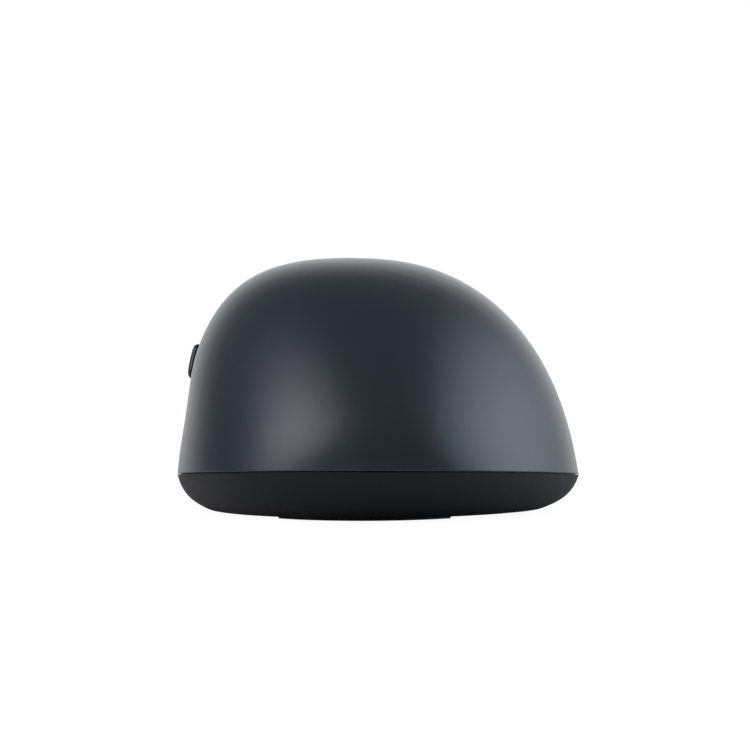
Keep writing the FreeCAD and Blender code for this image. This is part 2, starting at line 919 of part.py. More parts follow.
OUTER = under_skin(0.0)
INNER = under_skin(float(S.top_wall))
MIDDLE = under_skin(float(S.top_wall) / 2)
WALL = OUTER.cut(INNER)
FLOOR = float(S.base_bottom + S.base_floor)
BASE_WALL = float(S.lip_inset + S.lip_thickness)
BOARD_TOP = S.board_bottom + S.board_thickness
PILOT = S.shell_screw_diameter - S.thread_bite
BOARD_PILOT = S.board_screw_diameter - S.thread_bite
UP = Vector(0, 0, 1)
SCREW_ROWS = (
    ("rear", float(REAR + S.shell_screw_reach_rear)), ("front", float(NOSE - S.shell_screw_reach_front)),
)
SHELL_SCREWS = [
    (side * S.value("shell_screw_x_" + end), y, S.value("shell_boss_" + end))
    for end, y in SCREW_ROWS for side in (-1, 1)
]
SCREW_TIP = float(S.shell_screw_seat + S.shell_screw_length)


def usb_tunnel(wall):
    """The charging recess in the nose, rounded at its top corners and grown by a wall."""
    half = float(S.usb_recess_width) / 2 + wall
    top = float(S.usb_recess_top) + wall
    tunnel = Part.makeBox(2 * half, BEYOND * 2, top, Vector(-half, float(USB_MOUTH), 0))
    corners = [e for e in tunnel.Edges if runs_along(e, Vector(0, 1, 0)) and e.CenterOfMass.z > top / 2]
    return tunnel.makeFillet(float(S.usb_recess_corner) + wall, corners)


def bridge_screw_places():
    return [(S.spine_x + S.bridge_boss_spread * side, S.bridge_boss_y) for side in (-1, 1)]


def lip_room():
    """The step inside the lower edge of the top shell that takes the base's lip."""
    clearance = float(S.lip_clearance)
    band = prism(ring(float(S.lip_inset) - clearance, 0.0), 0, SKY)
    band = band.cut(prism(ring(BASE_WALL + clearance, 0.0), 0, SKY))
    return band.common(seam_block(-float(S.lip_height), float(S.lip_height) + clearance))


def shell_posts():
    """Screw posts that hang from the top shell, the front ones tied to the walls by webs."""
    web, reach = float(S.top_wall), float(S.web_reach)
    posts = []
    for x, y, boss_top in SHELL_SCREWS:
        low = boss_top + float(S.shell_boss_gap)
        high = SKY if y < 0 else SCREW_TIP + float(S.post_roof)
        posts.append(post(x, y, PILOT + S.boss_wall * 2, low, high))
        if y > 0:
            outwards = math.copysign(reach / 2, x)
            posts.append(block(x + outwards, y, reach, web, low, high))
            posts.append(block(x, y + reach / 2, web, reach, low, high))
    for x, y in bridge_screw_places():
        posts.append(post(x, y, BOARD_PILOT + S.boss_wall * 2, float(S.bridge_z + S.bridge_thickness), SKY))
    tunnel = usb_tunnel(float(S.usb_recess_wall)).cut(usb_tunnel(0))
    posts.append(tunnel.common(seam_block(float(S.lip_height), SKY)))
    return posts


def make_top_shell():
    hollow = INNER.cut(shell_posts())
    spine, gap = float(S.spine_x), float(S.dpi_gap)
    dpi_rear = float(S.dpi_y - S.dpi_length / 2) - gap
    dpi_front = float(S.dpi_y + S.dpi_length / 2) + gap
    cuts = [
        button_zone(0, 0, -SKY, SKY).cut(spine_block(0)),
        slot_prism(spine, float(S.slot_rear), float(S.slot_front), S.slot_width, float(S.wheel_z), SKY),
        slot_prism(spine, dpi_rear, dpi_front, S.dpi_width + 2 * gap, float(S.hinge_z), SKY),
        post(spine, S.light_y, S.light_diameter + S.light_play, float(S.hinge_z), SKY),
        side_button_prism("both", float(S.side_gap)),
        usb_tunnel(0),
        seam_block(-float(S.body_length), float(S.seam_gap)),
        lip_room(),
    ]
    for x, y, boss_top in SHELL_SCREWS:
        cuts.append(post(x, y, PILOT, boss_top, SCREW_TIP + float(S.screw_end_play)))
    for x, y in bridge_screw_places():
        low = float(S.bridge_z)
        cuts.append(post(x, y, BOARD_PILOT, low, low + float(S.board_screw_length + S.screw_end_play)))
    add_feature("top_shell", OUTER.cut([hollow] + cuts))


def crescent(front, extra, low, high):
    """The rear or front foot: a band inside the bottom's edge, cut across and rounded at its tips."""
    outer = prism(ring(float(S.foot_inset) - extra, 0.0), low, high)
    band = outer.cut(prism(ring(float(S.foot_inset + S.foot_width) + extra, 0.0), low, high))
    reach = float(NOSE - S.foot_front_reach if front else REAR + S.foot_rear_reach)
    edge = reach - extra if front else reach + extra
    far = float(S.body_length)
    keep = Part.makeBox(2 * far, far, high - low, Vector(-far, edge if front else edge - far, low))
    solid = max(band.common(keep).Solids, key=lambda solid: solid.Volume)
    tips = [e for e in upright(solid) if abs(e.CenterOfMass.y - edge) < 0.05]
    return solid.makeFillet(float(S.foot_tip), tips)


def foot_blocks(extra, low, high):
    """The three feet as blocks between two heights, grown by an amount all round."""
    blocks = [crescent(front, extra, low, high) for front in (False, True)]
    margin = 2 * (float(S.foot_ring_gap) - extra)
    width, depth = float(S.aperture_width) + margin, float(S.aperture_length) + margin
    rim = 2 * (float(S.foot_ring) + 2 * extra)
    outer = block(0, S.sensor_y, width + rim, depth + rim, low, high)
    inner = block(0, S.sensor_y, width, depth, low, high)
    outer = outer.makeFillet(float(S.foot_corner), upright(outer))
    blocks.append(outer.cut(inner.makeFillet(float(S.aperture_corner), upright(inner))))
    return blocks


def make_feet():
    names = ("rear_foot", "front_foot", "sensor_foot")
    for name, solid in zip(names, foot_blocks(0.0, 0.0, float(S.foot_thickness))):
        add_feature(name, solid)


def stand_places():
    """Places across of the two stands that hold the click frame's pivot pin."""
    offset = S.carrier_inner / 2 + S.carrier_plate + S.stand_gap + S.stand_width / 2
    return [S.spine_x - offset, S.spine_x + offset]


def board_screw_places():
    rows = (BOARD_REAR + S.board_screw_inset, S.board_screw_front)
    return [(S.board_screw_x * side, y) for y in rows for side in (-1, 1)]


def usb_cradle(bottom):
    """A block on the floor under the charging socket."""
    width = S.usb_width - S.cradle_inset * 2
    depth = S.usb_length - S.cradle_inset * 2
    y = USB_MOUTH - S.usb_length / 2
    return block(0, y, width, depth, bottom, float(S.usb_z - S.usb_height / 2))


def battery_rails(bottom):
    """Two rails beside the battery and a stop behind it."""
    top = FLOOR + float(S.rail_height)
    thick = S.rail_thickness
    rails = []
    for side in (-1, 1):
        x = (S.battery_width / 2 + S.rail_gap + thick / 2) * side
        rails.append(block(x, BATTERY_Y + S.rail_shift, thick, S.rail_length, bottom, top))
    y = BATTERY_Y - S.battery_length / 2 - S.rail_gap - thick / 2
    rails.append(block(0, y, S.rail_stop, thick, bottom, top))
    return rails


def make_bottom_shell():
    bottom = float(S.base_bottom)
    tub = base_form(0.0, bottom, steps(0, 1, 6))
    tongue = prism(ring(float(S.lip_inset), 0.0), 0, SKY)
    tongue = tongue.common(seam_block(-float(S.lip_height), float(S.lip_height)))
    half = float(S.lip_break) / 2
    tongue = tongue.cut(Part.makeBox(2 * half, SKY, SKY, Vector(-half, float(BOARD_SHOULDER), 0)))
    cavity = base_form(BASE_WALL, FLOOR, steps(0, 1, 5))
    mouth = prism(ring(BASE_WALL, 0.0), 0, SKY).common(seam_block(-float(S.lip_root), SKY))
    kept = [usb_cradle(bottom)] + battery_rails(bottom)
    for x, y, boss_top in SHELL_SCREWS:
        kept.append(post(x, y, S.shell_screw_head + S.seat_wall * 2, bottom, boss_top))
    for x, y in board_screw_places():
        kept.append(post(x, y, S.board_boss_diameter, bottom, float(S.board_bottom)))
    sunk = FLOOR - float(S.base_floor) / 2
    top = float(S.pivot_z + S.stand_top)
    pivots = [block(x, PIVOT_Y, S.stand_width, S.stand_depth, sunk, top) for x in stand_places()]
    shell = tub.fuse(tongue).cut([cavity.cut(kept), mouth.cut(kept)]).fuse(pivots)
    cuts = []
    for x, y, boss_top in SHELL_SCREWS:
        cuts.append(post(x, y, S.shell_screw_diameter + S.screw_play, 0, SCREW_TIP))
        cuts.append(post(x, y, S.shell_screw_head + S.screw_head_play * 2, 0, float(S.shell_screw_seat)))
    for x, y in board_screw_places():
        low = float(BOARD_TOP - S.board_screw_length - S.screw_end_play)
        cuts.append(post(x, y, BOARD_PILOT, low, SCREW_TIP))
    cuts.append(cross_rod(S.axle_diameter, S.spine_x - BEYOND, BEYOND * 2, PIVOT_Y, S.pivot_z))
    aperture = block(0, S.sensor_y, S.aperture_width, S.aperture_length, 0, SCREW_TIP)
    cuts.append(aperture.makeFillet(float(S.aperture_corner), upright(aperture)))
    cuts += foot_blocks(float(S.foot_play), 0.0, bottom + float(S.foot_recess))
    play = S.knob_play * 2
    room = S.power_travel + play
    recess_top = bottom + float(S.knob_recess)
    cuts.append(block(S.power_x, S.power_y, S.knob_width + room, S.knob_depth + play, 0, recess_top))
    cuts.append(block(S.power_x, S.power_y, S.knob_stem + room, S.knob_stem + play, 0, SCREW_TIP))
    add_feature("bottom_shell", shell.cut(cuts))


def make_power_slider():
    """The knob stands at the off end of its travel, towards the thumb side."""
    x = float(S.power_x - S.power_travel / 2)
    low = float(S.base_bottom + S.knob_float)
    top = float(S.base_bottom + S.knob_recess - S.knob_float)
    plate = block(x, S.power_y, S.knob_width, S.knob_depth, low, top)
    plate = plate.makeFillet(float(S.knob_corner), upright(plate))
    groove_top = low + float(S.knob_groove_depth)
    groove_length = S.knob_depth - S.knob_groove_spacing
    grooves = []
    for place_across in (-1, 0, 1):
        groove_x = x + place_across * float(S.knob_groove_spacing)
        grooves.append(block(groove_x, S.power_y, S.knob_groove_width, groove_length, 0, groove_top))
    stem_top = float(S.board_bottom - S.power_switch_height + S.knob_reach)
    stem = block(x, S.power_y, S.knob_stem, S.knob_stem, groove_top, stem_top)
    add_feature("power_slider", plate.cut(grooves).fuse(stem))


def make_main_button(label, side):
    """One main button: its piece of the skin, hinge arm, ribs and the post over its switch."""
    gap_rear, gap_front = float(S.button_gap), float(S.button_gap_front)
    spine = float(S.spine_x)
    left, right = (-SKY, spine) if side < 0 else (spine, SKY)
    zone = button_zone(gap_rear, gap_front, left, right).cut(spine_block(gap_rear))
    skin = WALL.common(zone)
    x = spine + side * float(S.arm_spread)
    half = float(S.arm_thickness) / 2
    rear, reach = float(S.hinge_y) - half, float(S.arm_reach)
    hinge_z = float(S.hinge_z)
    start = float(S.hinge_y)
    width = float(S.arm_width)
    knuckle = cross_rod(S.arm_thickness, x - width / 2, width, start, hinge_z)
    arm = block(x, (start + reach) / 2, width, reach - start, hinge_z - half, hinge_z + half)
    rib_rear = float(S.button_rear) + gap_rear + float(S.rib_setback)
    ribs = []
    for edge in (-1, 1):
        rib_x = x + edge * (width - float(S.arm_rib)) / 2
        ribs.append(block(rib_x, (rib_rear + reach) / 2, S.arm_rib, reach - rib_rear, hinge_z, SKY))
    ribs.append(block(x, reach - float(S.arm_rib) / 2, width, S.arm_rib, hinge_z - half, SKY))
    contact = float(BOARD_TOP + S.switch_height + S.plunger_proud + S.contact_gap)
    switch_x = spine + side * float(S.finger_spread)
    pusher = post(switch_x, S.switch_y, S.button_post_diameter, contact, SKY)
    inside = [shape.common(MIDDLE) for shape in [arm, pusher] + ribs]
    button = skin.fuse(inside + [knuckle])
    hole = cross_rod(S.hinge_pin_diameter + S.hinge_pin_play, x - width, 2 * width, start, hinge_z)
    add_feature(label, button.cut([hole, spine_block(gap_rear)]))


def hinge_ears():
    """Places across of the centres of the four ears that hold the hinge pins."""
    offset = S.arm_width / 2 + S.ear_gap + S.ear_thickness / 2
    places = []
    for side in (-1, 1):
        centre = S.spine_x + S.arm_spread * side
        places += [centre - offset, centre + offset]
    return places


def make_button_bridge():
    """A plate across the hump with two pairs of ears, screwed to bosses inside the top shell."""
    body = new_body("button_bridge")
    x = S.spine_x
    outer = S.arm_spread + S.arm_width / 2 + S.ear_gap + S.ear_thickness
    tail = S.bridge_boss_spread + S.bridge_margin
    plate = new_sketch(body, "XY_Plane", S.bridge_z)
    draw_polygon(plate, [
        (x - outer, S.hinge_y - S.ear_foot), (x - tail, S.bridge_rear), (x + tail, S.bridge_rear),
        (x + outer, S.hinge_y - S.ear_foot), (x + outer, S.bridge_front), (x - outer, S.bridge_front),
    ])
    for screw_x, screw_y in bridge_screw_places():
        draw_circle(plate, screw_x, screw_y, S.board_screw_diameter + S.screw_play)
    pad(body, plate, S.bridge_thickness)
    shoulder = S.hinge_z + S.ear_top / 2
    for ear_x in hinge_ears():
        ear = new_sketch(body, "YZ_Plane", ear_x - S.ear_thickness / 2)
        low = S.bridge_z + S.bridge_thickness / 2
        draw_polygon(ear, [
            (S.hinge_y - S.ear_foot, low), (S.hinge_y + S.ear_foot, low), (S.hinge_y + S.ear_top, shoulder),
            (S.hinge_y + S.ear_top / 2, S.hinge_z + S.ear_top),
            (S.hinge_y - S.ear_top / 2, S.hinge_z + S.ear_top), (S.hinge_y - S.ear_top, shoulder),
        ])
        draw_circle(ear, S.hinge_y, S.hinge_z, S.hinge_pin_diameter)
        pad(body, ear, S.ear_thickness)


def make_hinge_pins():
    """Two steel pins, tight in the ears and running in the arms."""
    span = float(S.arm_width + S.ear_gap * 2 + S.ear_thickness * 2)
    pins = []
    for side in (-1, 1):
        left = float(S.spine_x) + side * float(S.arm_spread) - span / 2
        pins.append(cross_rod(S.hinge_pin_diameter, left, span, S.hinge_y, S.hinge_z))
    add_feature("hinge_pins", Part.makeCompound(pins))


def make_button_springs():
    """Two bent leaves on the bridge that rise under the arms."""
    thin = float(S.spring_thickness)
    low = float(S.bridge_z + S.bridge_thickness)
    high = float(S.hinge_z - S.arm_thickness / 2 - S.spring_gap)
    bend = float(S.bridge_front) - thin * 2
    start = bend - float(S.spring_seat)
    rise = bend + float(S.spring_reach)
    tip = rise + float(S.spring_tip)
    outline = [
        (start, low), (bend, low), (rise, high - thin), (tip, high - thin), (tip, high),
        (rise - thin / 3, high), (bend - thin / 3, low + thin), (start, low + thin),
    ]
    half = float(S.spring_width) / 2
    leaves = []
    for side in (-1, 1):
        x = float(S.spine_x + S.arm_spread * side)
        leaves.append(side_prism(outline, x - half, x + half))
    add_feature("button_springs", Part.makeCompound(leaves))


def screw(head, head_height, diameter, reach, recess):
    """A round-headed screw that points up from its seat at the origin, with a crossed recess."""
    radius, shank = float(head) / 2, float(diameter - S.thread_bite) / 2
    bevel, point = float(S.screw_slot), shank
    low, tip = -float(head_height), float(reach)
    outline = [
        (0, low), (radius - bevel, low), (radius, low + bevel), (radius, 0),
        (shank, 0), (shank, tip - point), (shank - point / 2, tip), (0, tip),
    ]
    profile = [Vector(x, 0, z) for x, z in outline]
    solid = Part.Face(Part.makePolygon(profile + profile[:1])).revolve(Vector(0, 0, 0), UP, 360)
    deep = low / 2
    slots = [block(0, 0, recess, S.screw_slot, low, deep), block(0, 0, S.screw_slot, recess, low, deep)]
    return solid.cut(slots)


def make_screws():
    """The four shell screws, the four board screws and the two bridge screws."""
    one = screw(S.shell_screw_head, S.shell_screw_head_height, S.shell_screw_diameter, S.shell_screw_length,
                S.shell_screw_recess)
    add_screws("shell_screws", one, [(x, y) for x, y, top in SHELL_SCREWS], S.shell_screw_seat)
    small = screw(S.board_screw_head, S.board_screw_head_height, S.board_screw_diameter, S.board_screw_length,
                  S.board_screw_recess)
    add_screws("bridge_screws", small, bridge_screw_places(), S.bridge_z)
    turned = small.rotated(Vector(0, 0, 0), Vector(1, 0, 0), 180)
    add_screws("board_screws", turned, board_screw_places(), BOARD_TOP)


def add_screws(label, one, places, seat):
    """Copies of one screw at each place, as a single sub-part."""
    group = [one.translated(Vector(float(x), float(y), float(seat))) for x, y in places]
    add_feature(label, Part.makeCompound(group))


# Scroll wheel

def make_scroll_tyre():
    """The rubber tread: a turned ring with a crowned face and grooves across it."""
    body = new_body("scroll_tyre")
    ring_sketch = new_sketch(body, "XZ_Plane")
    half = S.tyre_width / 2
    bevel = half - S.tyre_bevel
    crown = bevel - S.tyre_round
    shoulder = S.tyre_radius - S.tyre_shoulder
    face = S.tyre_radius - S.tyre_crown
    draw_polygon(ring_sketch, [
        (-half, S.tyre_bore), (half, S.tyre_bore), (half, shoulder), (bevel, face), (crown, S.tyre_radius),
        (-crown, S.tyre_radius), (-bevel, face), (-half, shoulder),
    ])
    revolve(body, ring_sketch)
    groove = new_sketch(body, "YZ_Plane", -S.tyre_width)
    draw_rectangle(groove, 0, S.tyre_radius, S.tyre_groove_width, S.tyre_groove_depth * 2)
    cut = pocket(body, groove, S.tyre_width * 2, flip=True)
    repeat_round(body, cut, "X_Axis", S.tyre_grooves)
    place(body, S.spine_x, S.wheel_y, S.wheel_z)


def make_scroll_hub():
    """The rim, web and boss inside the tyre, with the slots that the encoder counts."""
    body = new_body("scroll_hub")
    profile = new_sketch(body, "XZ_Plane")
    bore = S.axle_diameter / 2
    boss = S.hub_boss_diameter / 2
    end = S.carrier_inner / 2 - S.hub_end_gap
    rim = S.tyre_width / 2 - S.hub_inset
    web = S.hub_web / 2
    inside = S.tyre_bore - S.hub_rim
    draw_polygon(profile, [
        (-end, bore), (end, bore), (end, boss), (web, boss), (web, inside), (rim, inside),
        (rim, S.tyre_bore), (-rim, S.tyre_bore), (-rim, inside), (-web, inside), (-web, boss), (-end, boss),
    ])
    revolve(body, profile)
    window = new_sketch(body, "YZ_Plane", -S.hub_web)
    draw_rectangle(window, 0, S.encoder_slot_radius, S.encoder_slot_width, S.encoder_slot_length)
    cut = pocket(body, window, S.hub_web * 2, flip=True)
    repeat_round(body, cut, "X_Axis", S.encoder_slots)
    place(body, S.spine_x, S.wheel_y, S.wheel_z)


def make_rod(label, diameter, span, y, z):
    """A plain rod that lies across the mouse, centred on the spine."""
    rod = DOC.addObject("Part::Cylinder", label)
    rod.Label = label
    rod.setExpression("Radius", (diameter / 2).text)
    rod.setExpression("Height", span.text)
    rod.Placement = Placement(Vector(0, 0, 0), Rotation(Vector(0, 1, 0), 90))
    start = S.spine_x - span / 2
    for axis, amount in (("x", start), ("y", y), ("z", z)):
        rod.setExpression("Placement.Base." + axis, amount.text)
    DOC.recompute()
    SUB_PARTS.append(rod)


def make_wheel_carrier():
    """The click frame: two side plates round the wheel, a cross bar, and a tab over the click switch."""
    body = new_body("wheel_carrier")
    inner = S.carrier_inner / 2
    outer = inner + S.carrier_plate
    edge = S.carrier_edge
    tail = S.carrier_bar_y - S.carrier_bar / 2
    nose = PIVOT_Y + S.carrier_nose
    head_top = S.wheel_z + S.carrier_head_top
    bar = new_sketch(body, "YZ_Plane", -outer)
    draw_rectangle(bar, S.carrier_bar_y, S.pivot_z, S.carrier_bar, S.carrier_bar)
    pad(body, bar, outer * 2)
    for start in (-outer, inner):
        plate = new_sketch(body, "YZ_Plane", start)
        draw_polygon(plate, [
            (nose, S.pivot_z - edge), (nose, S.pivot_z + edge), (S.wheel_y + S.carrier_head, head_top),
            (S.wheel_y - S.carrier_head, head_top), (tail, S.pivot_z + edge), (tail, S.pivot_z - edge),
        ])
        bore = S.axle_diameter + S.axle_play * 2
        draw_circle(plate, PIVOT_Y, S.pivot_z, bore)
        draw_circle(plate, S.wheel_y, S.wheel_z, bore)
        draw_circle(plate, S.wheel_y, S.wheel_z - S.encoder_slot_radius, S.carrier_window)
        pad(body, plate, S.carrier_plate)
    tab = new_sketch(body, "XY_Plane", BOARD_TOP + S.tact_height + S.tact_plunger_proud + S.contact_gap)
    root = -outer + S.carrier_plate / 2
    far = S.middle_switch_x - S.spine_x - S.tact_plunger_diameter / 2 - S.click_tab_margin
    half = S.click_tab_width / 2
    tip = half - S.click_tab_margin
    draw_polygon(tab, [
        (far, S.click_tab_y - tip), (root, S.click_tab_y - half), (root, S.click_tab_y + half),
        (far, S.click_tab_y + tip),
    ])
    pad(body, tab, S.click_tab_thickness)
    place(body, S.spine_x)


# Electronics

def make_main_board():
    """The circuit board: wide over the base, with a tongue that carries the charging socket."""
    body = new_body("main_board")
    outline = new_sketch(body, "XY_Plane", S.board_bottom)
    wide, tongue, chamfer = S.board_half_width, S.board_tongue_half, S.board_chamfer
    shoulder, front = BOARD_SHOULDER, BOARD_FRONT
    socket = S.usb_width / 2 + S.usb_play
    socket_rear = USB_MOUTH - S.usb_length - S.usb_play
    draw_polygon(outline, [
        (-wide, BOARD_REAR), (wide, BOARD_REAR), (wide, shoulder), (tongue, shoulder),
        (tongue, front - chamfer), (tongue - chamfer, front), (socket, front), (socket, socket_rear),
        (-socket, socket_rear), (-socket, front), (chamfer - tongue, front),
        (-tongue, front - chamfer), (-tongue, shoulder), (-wide, shoulder),
    ])
    draw_rectangle(outline, 0, S.sensor_y, S.board_window_width, S.board_window_length)
    play = S.stand_play * 2
    for x in stand_places():
        draw_rectangle(outline, x, PIVOT_Y, S.stand_width + play, S.stand_depth + play)
    for x, y in board_screw_places():
        draw_circle(outline, x, y, S.board_screw_diameter + S.screw_play)
    for x, y in bracket_peg_places():
        draw_circle(outline, x, y, S.bracket_peg_diameter + S.plunger_play)
    pad(body, outline, S.board_thickness)
    round_edges(body, S.board_corner, at_board_corner)


def at_board_corner(edge):
    """Whether an edge stands at one of the four wide corners of the board."""
    off_side = abs(abs(edge.CenterOfMass.x) - float(S.board_half_width))
    return stands(edge) and off_side < 0.01


def bracket_peg_places():
    """The two pegs that stand the side bracket on the board."""
    x = S.side_board_x + S.side_board_thickness + S.bracket_peg_inset
    return [(x, S.bracket_peg_rear), (x, S.bracket_peg_front)]


def make_main_switch(label, side):
    """A click switch: a case with a slot in its top for the plunger, standing on the board."""
    body = new_body(label)
    case = new_sketch(body, "XY_Plane")
    draw_rectangle(case, 0, 0, S.switch_width, S.switch_length)
    pad(body, case, S.switch_height)
    round_edges(body, S.switch_corner, stands)
    slot = new_sketch(body, "XY_Plane", S.switch_height)
    play = S.plunger_play * 2
    draw_rectangle(slot, 0, 0, S.plunger_width + play, S.plunger_depth + play)
    pocket(body, slot, S.plunger_seat)
    place(body, S.spine_x + S.finger_spread * side, S.switch_y, BOARD_TOP)


def make_main_plunger(label, side):
    """The plunger stands in the slot and rises above the case."""
    body = new_body(label)
    stem = new_sketch(body, "XY_Plane")
    draw_rectangle(stem, 0, 0, S.plunger_width, S.plunger_depth)
    sunk = S.plunger_seat - S.plunger_room
    pad(body, stem, S.plunger_proud + sunk)
    round_edges(body, S.plunger_corner, at_plunger_top)
    place(body, S.spine_x + S.finger_spread * side, S.switch_y, BOARD_TOP + S.switch_height - sunk)


def at_plunger_top(edge):
    return runs_along(edge, Vector(1, 0, 0)) and edge.CenterOfMass.z > float(S.plunger_proud)


def make_tact_switch(label):
    """A square switch case, built round its own origin with its plunger up."""
    body = new_body(label)
    case = new_sketch(body, "XY_Plane")
    draw_rectangle(case, 0, 0, S.tact_size, S.tact_size)
    pad(body, case, S.tact_height)
    round_edges(body, S.switch_corner, stands)
    hole = new_sketch(body, "XY_Plane", S.tact_height)
    draw_circle(hole, 0, 0, S.tact_plunger_diameter + S.plunger_play * 2)
    pocket(body, hole, S.tact_hole_depth)
    return body


def make_tact_plunger(label):
    """The round plunger of a square switch, in the same frame as its case."""
    body = new_body(label)
    stem = new_sketch(body, "XY_Plane", S.tact_height - S.tact_plunger_seat)
    draw_circle(stem, 0, 0, S.tact_plunger_diameter)
    pad(body, stem, S.tact_plunger_proud + S.tact_plunger_seat)
    round_edges(body, S.plunger_corner, lambda edge: edge.CenterOfMass.z > float(S.tact_height))
    return body


def side_switch_place(end):
    """Place along and height of the switch behind one side button."""
    return getattr(S, "side_switch_y_" + end), getattr(S, "side_switch_z_" + end)


def place_side_switch(body, end):
    """Stand a square switch on the side board, with its plunger towards the thumb."""
    body.Placement = Placement(Vector(0, 0, 0), Rotation(Vector(0, 1, 0), -90))
    y, z = side_switch_place(end)
    place(body, S.side_board_x, y, z)


def make_switches():
    for name, side in (("left", -1), ("right", 1)):
        make_main_switch(name + "_switch", side)
        make_main_plunger(name + "_plunger", side)
    for name, x, y in (("middle", S.middle_switch_x, S.click_tab_y), ("dpi", S.spine_x, S.dpi_y)):
        place(make_tact_switch(name + "_switch"), x, y, BOARD_TOP)
        place(make_tact_plunger(name + "_plunger"), x, y, BOARD_TOP)
    for end in ("back", "forward"):
        place_side_switch(make_tact_switch("side_switch_" + end), end)
        place_side_switch(make_tact_plunger("side_plunger_" + end), end)


def make_chip(label, x, y, width, depth, height, corner=None, base=None):
    """A flat package with rounded upright edges, standing on the board."""
    body = new_body(label)
    case = new_sketch(body, "XY_Plane")
    draw_rectangle(case, 0, 0, width, depth)
    pad(body, case, height)
    if corner:
        round_edges(body, corner, stands)
    place(body, x, y, BOARD_TOP if base is None else base)
    return body


def make_optical_sensor():
    body = make_chip("optical_sensor", 0, S.sensor_y, S.sensor_length, S.sensor_width, S.sensor_height,
                     S.sensor_corner)
    hood = new_sketch(body, "XY_Plane", S.sensor_height)
    draw_circle(hood, 0, 0, S.sensor_hood)
    pad(body, hood, S.sensor_hood_height)


def make_sensor_lens():
    """A clear plate on the floor, with a nose in the aperture and a dome up to the sensor."""
    body = new_body("sensor_lens")
    floor = S.base_bottom + S.base_floor
    around = S.lens_flange * 2
    flange = new_sketch(body, "XY_Plane", floor)
    draw_rectangle(flange, 0, 0, S.aperture_width + around, S.aperture_length + around)
    pad(body, flange, S.lens_thickness)
    round_edges(body, S.aperture_corner, stands)
    play = S.lens_play * 2
    nose = new_sketch(body, "XY_Plane", floor)
    draw_rectangle(nose, 0, 0, S.aperture_width - play, S.aperture_length - play)
    pad(body, nose, S.lens_nose, flip=True)
    dome = new_sketch(body, "XY_Plane", floor + S.lens_thickness)
    draw_circle(dome, 0, 0, S.lens_dome)
    pad(body, dome, S.board_bottom - floor - S.lens_thickness - S.lens_gap)
    place(body, 0, S.sensor_y)


def make_usb_socket():
    """A charging socket: a rounded metal shell, hollow from its mouth, with a tongue inside."""
    body = new_body("usb_socket")
    shell = new_sketch(body, "XZ_Plane")
    draw_rectangle(shell, 0, 0, S.usb_width, S.usb_height)
    pad(body, shell, S.usb_length)
    round_edges(body, S.usb_height / 2 - S.usb_corner_flat, lambda edge: runs_along(edge, Vector(0, 1, 0)))
    hollow = new_sketch(body, "XZ_Plane")
    draw_rectangle(hollow, 0, 0, S.usb_width - S.usb_side_wall * 2, S.usb_height - S.usb_wall * 2)
    pocket(body, hollow, S.usb_length - S.usb_back_wall, flip=True)
    round_edges(body, S.usb_inner_corner, in_usb_hollow)
    tongue = new_sketch(body, "XZ_Plane", S.usb_length - S.usb_back_wall)
    draw_rectangle(tongue, 0, 0, S.usb_tongue_width, S.usb_tongue_height)
    pad(body, tongue, S.usb_length - S.usb_back_wall - S.usb_tongue_back, flip=True)
    place(body, 0, USB_MOUTH, S.usb_z)


def in_usb_hollow(edge):
    """Whether an edge runs along one of the four inner corners of the socket's hollow."""
    place_across = float(S.usb_width / 2 - S.usb_side_wall)
    return runs_along(edge, Vector(0, 1, 0)) and abs(abs(edge.CenterOfMass.x) - place_across) < 0.01


def make_encoder():
    """The light source and the detector that look at each other through the hub's slots."""
    offset = S.carrier_inner / 2 + S.carrier_plate + S.encoder_gap
    depth = S.encoder_depth
    eye_height = S.wheel_z - S.encoder_slot_radius - BOARD_TOP
    height = eye_height + S.encoder_top
    for label, side in (("scroll_detector", -1), ("scroll_emitter", 1)):
        centre = S.spine_x + (offset + depth / 2) * side
        body = make_chip(label, centre, S.wheel_y, depth, S.encoder_width, height, S.switch_corner)
        eye = new_sketch(body, "YZ_Plane", -(depth / 2) * side)
        draw_circle(eye, 0, eye_height, S.encoder_eye)
        pad(body, eye, S.encoder_eye_proud, flip=side > 0)


def make_box(label, x, y, z, width, depth, height):
    """A plain block between a low corner and three sizes."""
    box = DOC.addObject("Part::Box", label)
    box.Label = label
    for name, amount in (("Length", width), ("Width", depth), ("Height", height)):
        box.setExpression(name, length(amount).text)
    for axis, amount in (("x", x), ("y", y), ("z", z)):
        box.setExpression("Placement.Base." + axis, length(amount).text)
    DOC.recompute()
    SUB_PARTS.append(box)


def make_power_switch():
    """The slide switch under the board, with a slot for the knob's stem."""
    body = new_body("power_switch")
    low = S.board_bottom - S.power_switch_height
    case = new_sketch(body, "XY_Plane", low)
    draw_rectangle(case, 0, 0, S.power_switch_width, S.power_switch_depth)
    pad(body, case, S.power_switch_height)
    slot = new_sketch(body, "XY_Plane", low)
    play = S.knob_play * 2
    draw_rectangle(slot, 0, 0, S.knob_stem + S.power_travel + play, S.knob_stem + play)
    pocket(body, slot, S.power_slot_depth, flip=True)
    place(body, S.power_x, S.power_y)


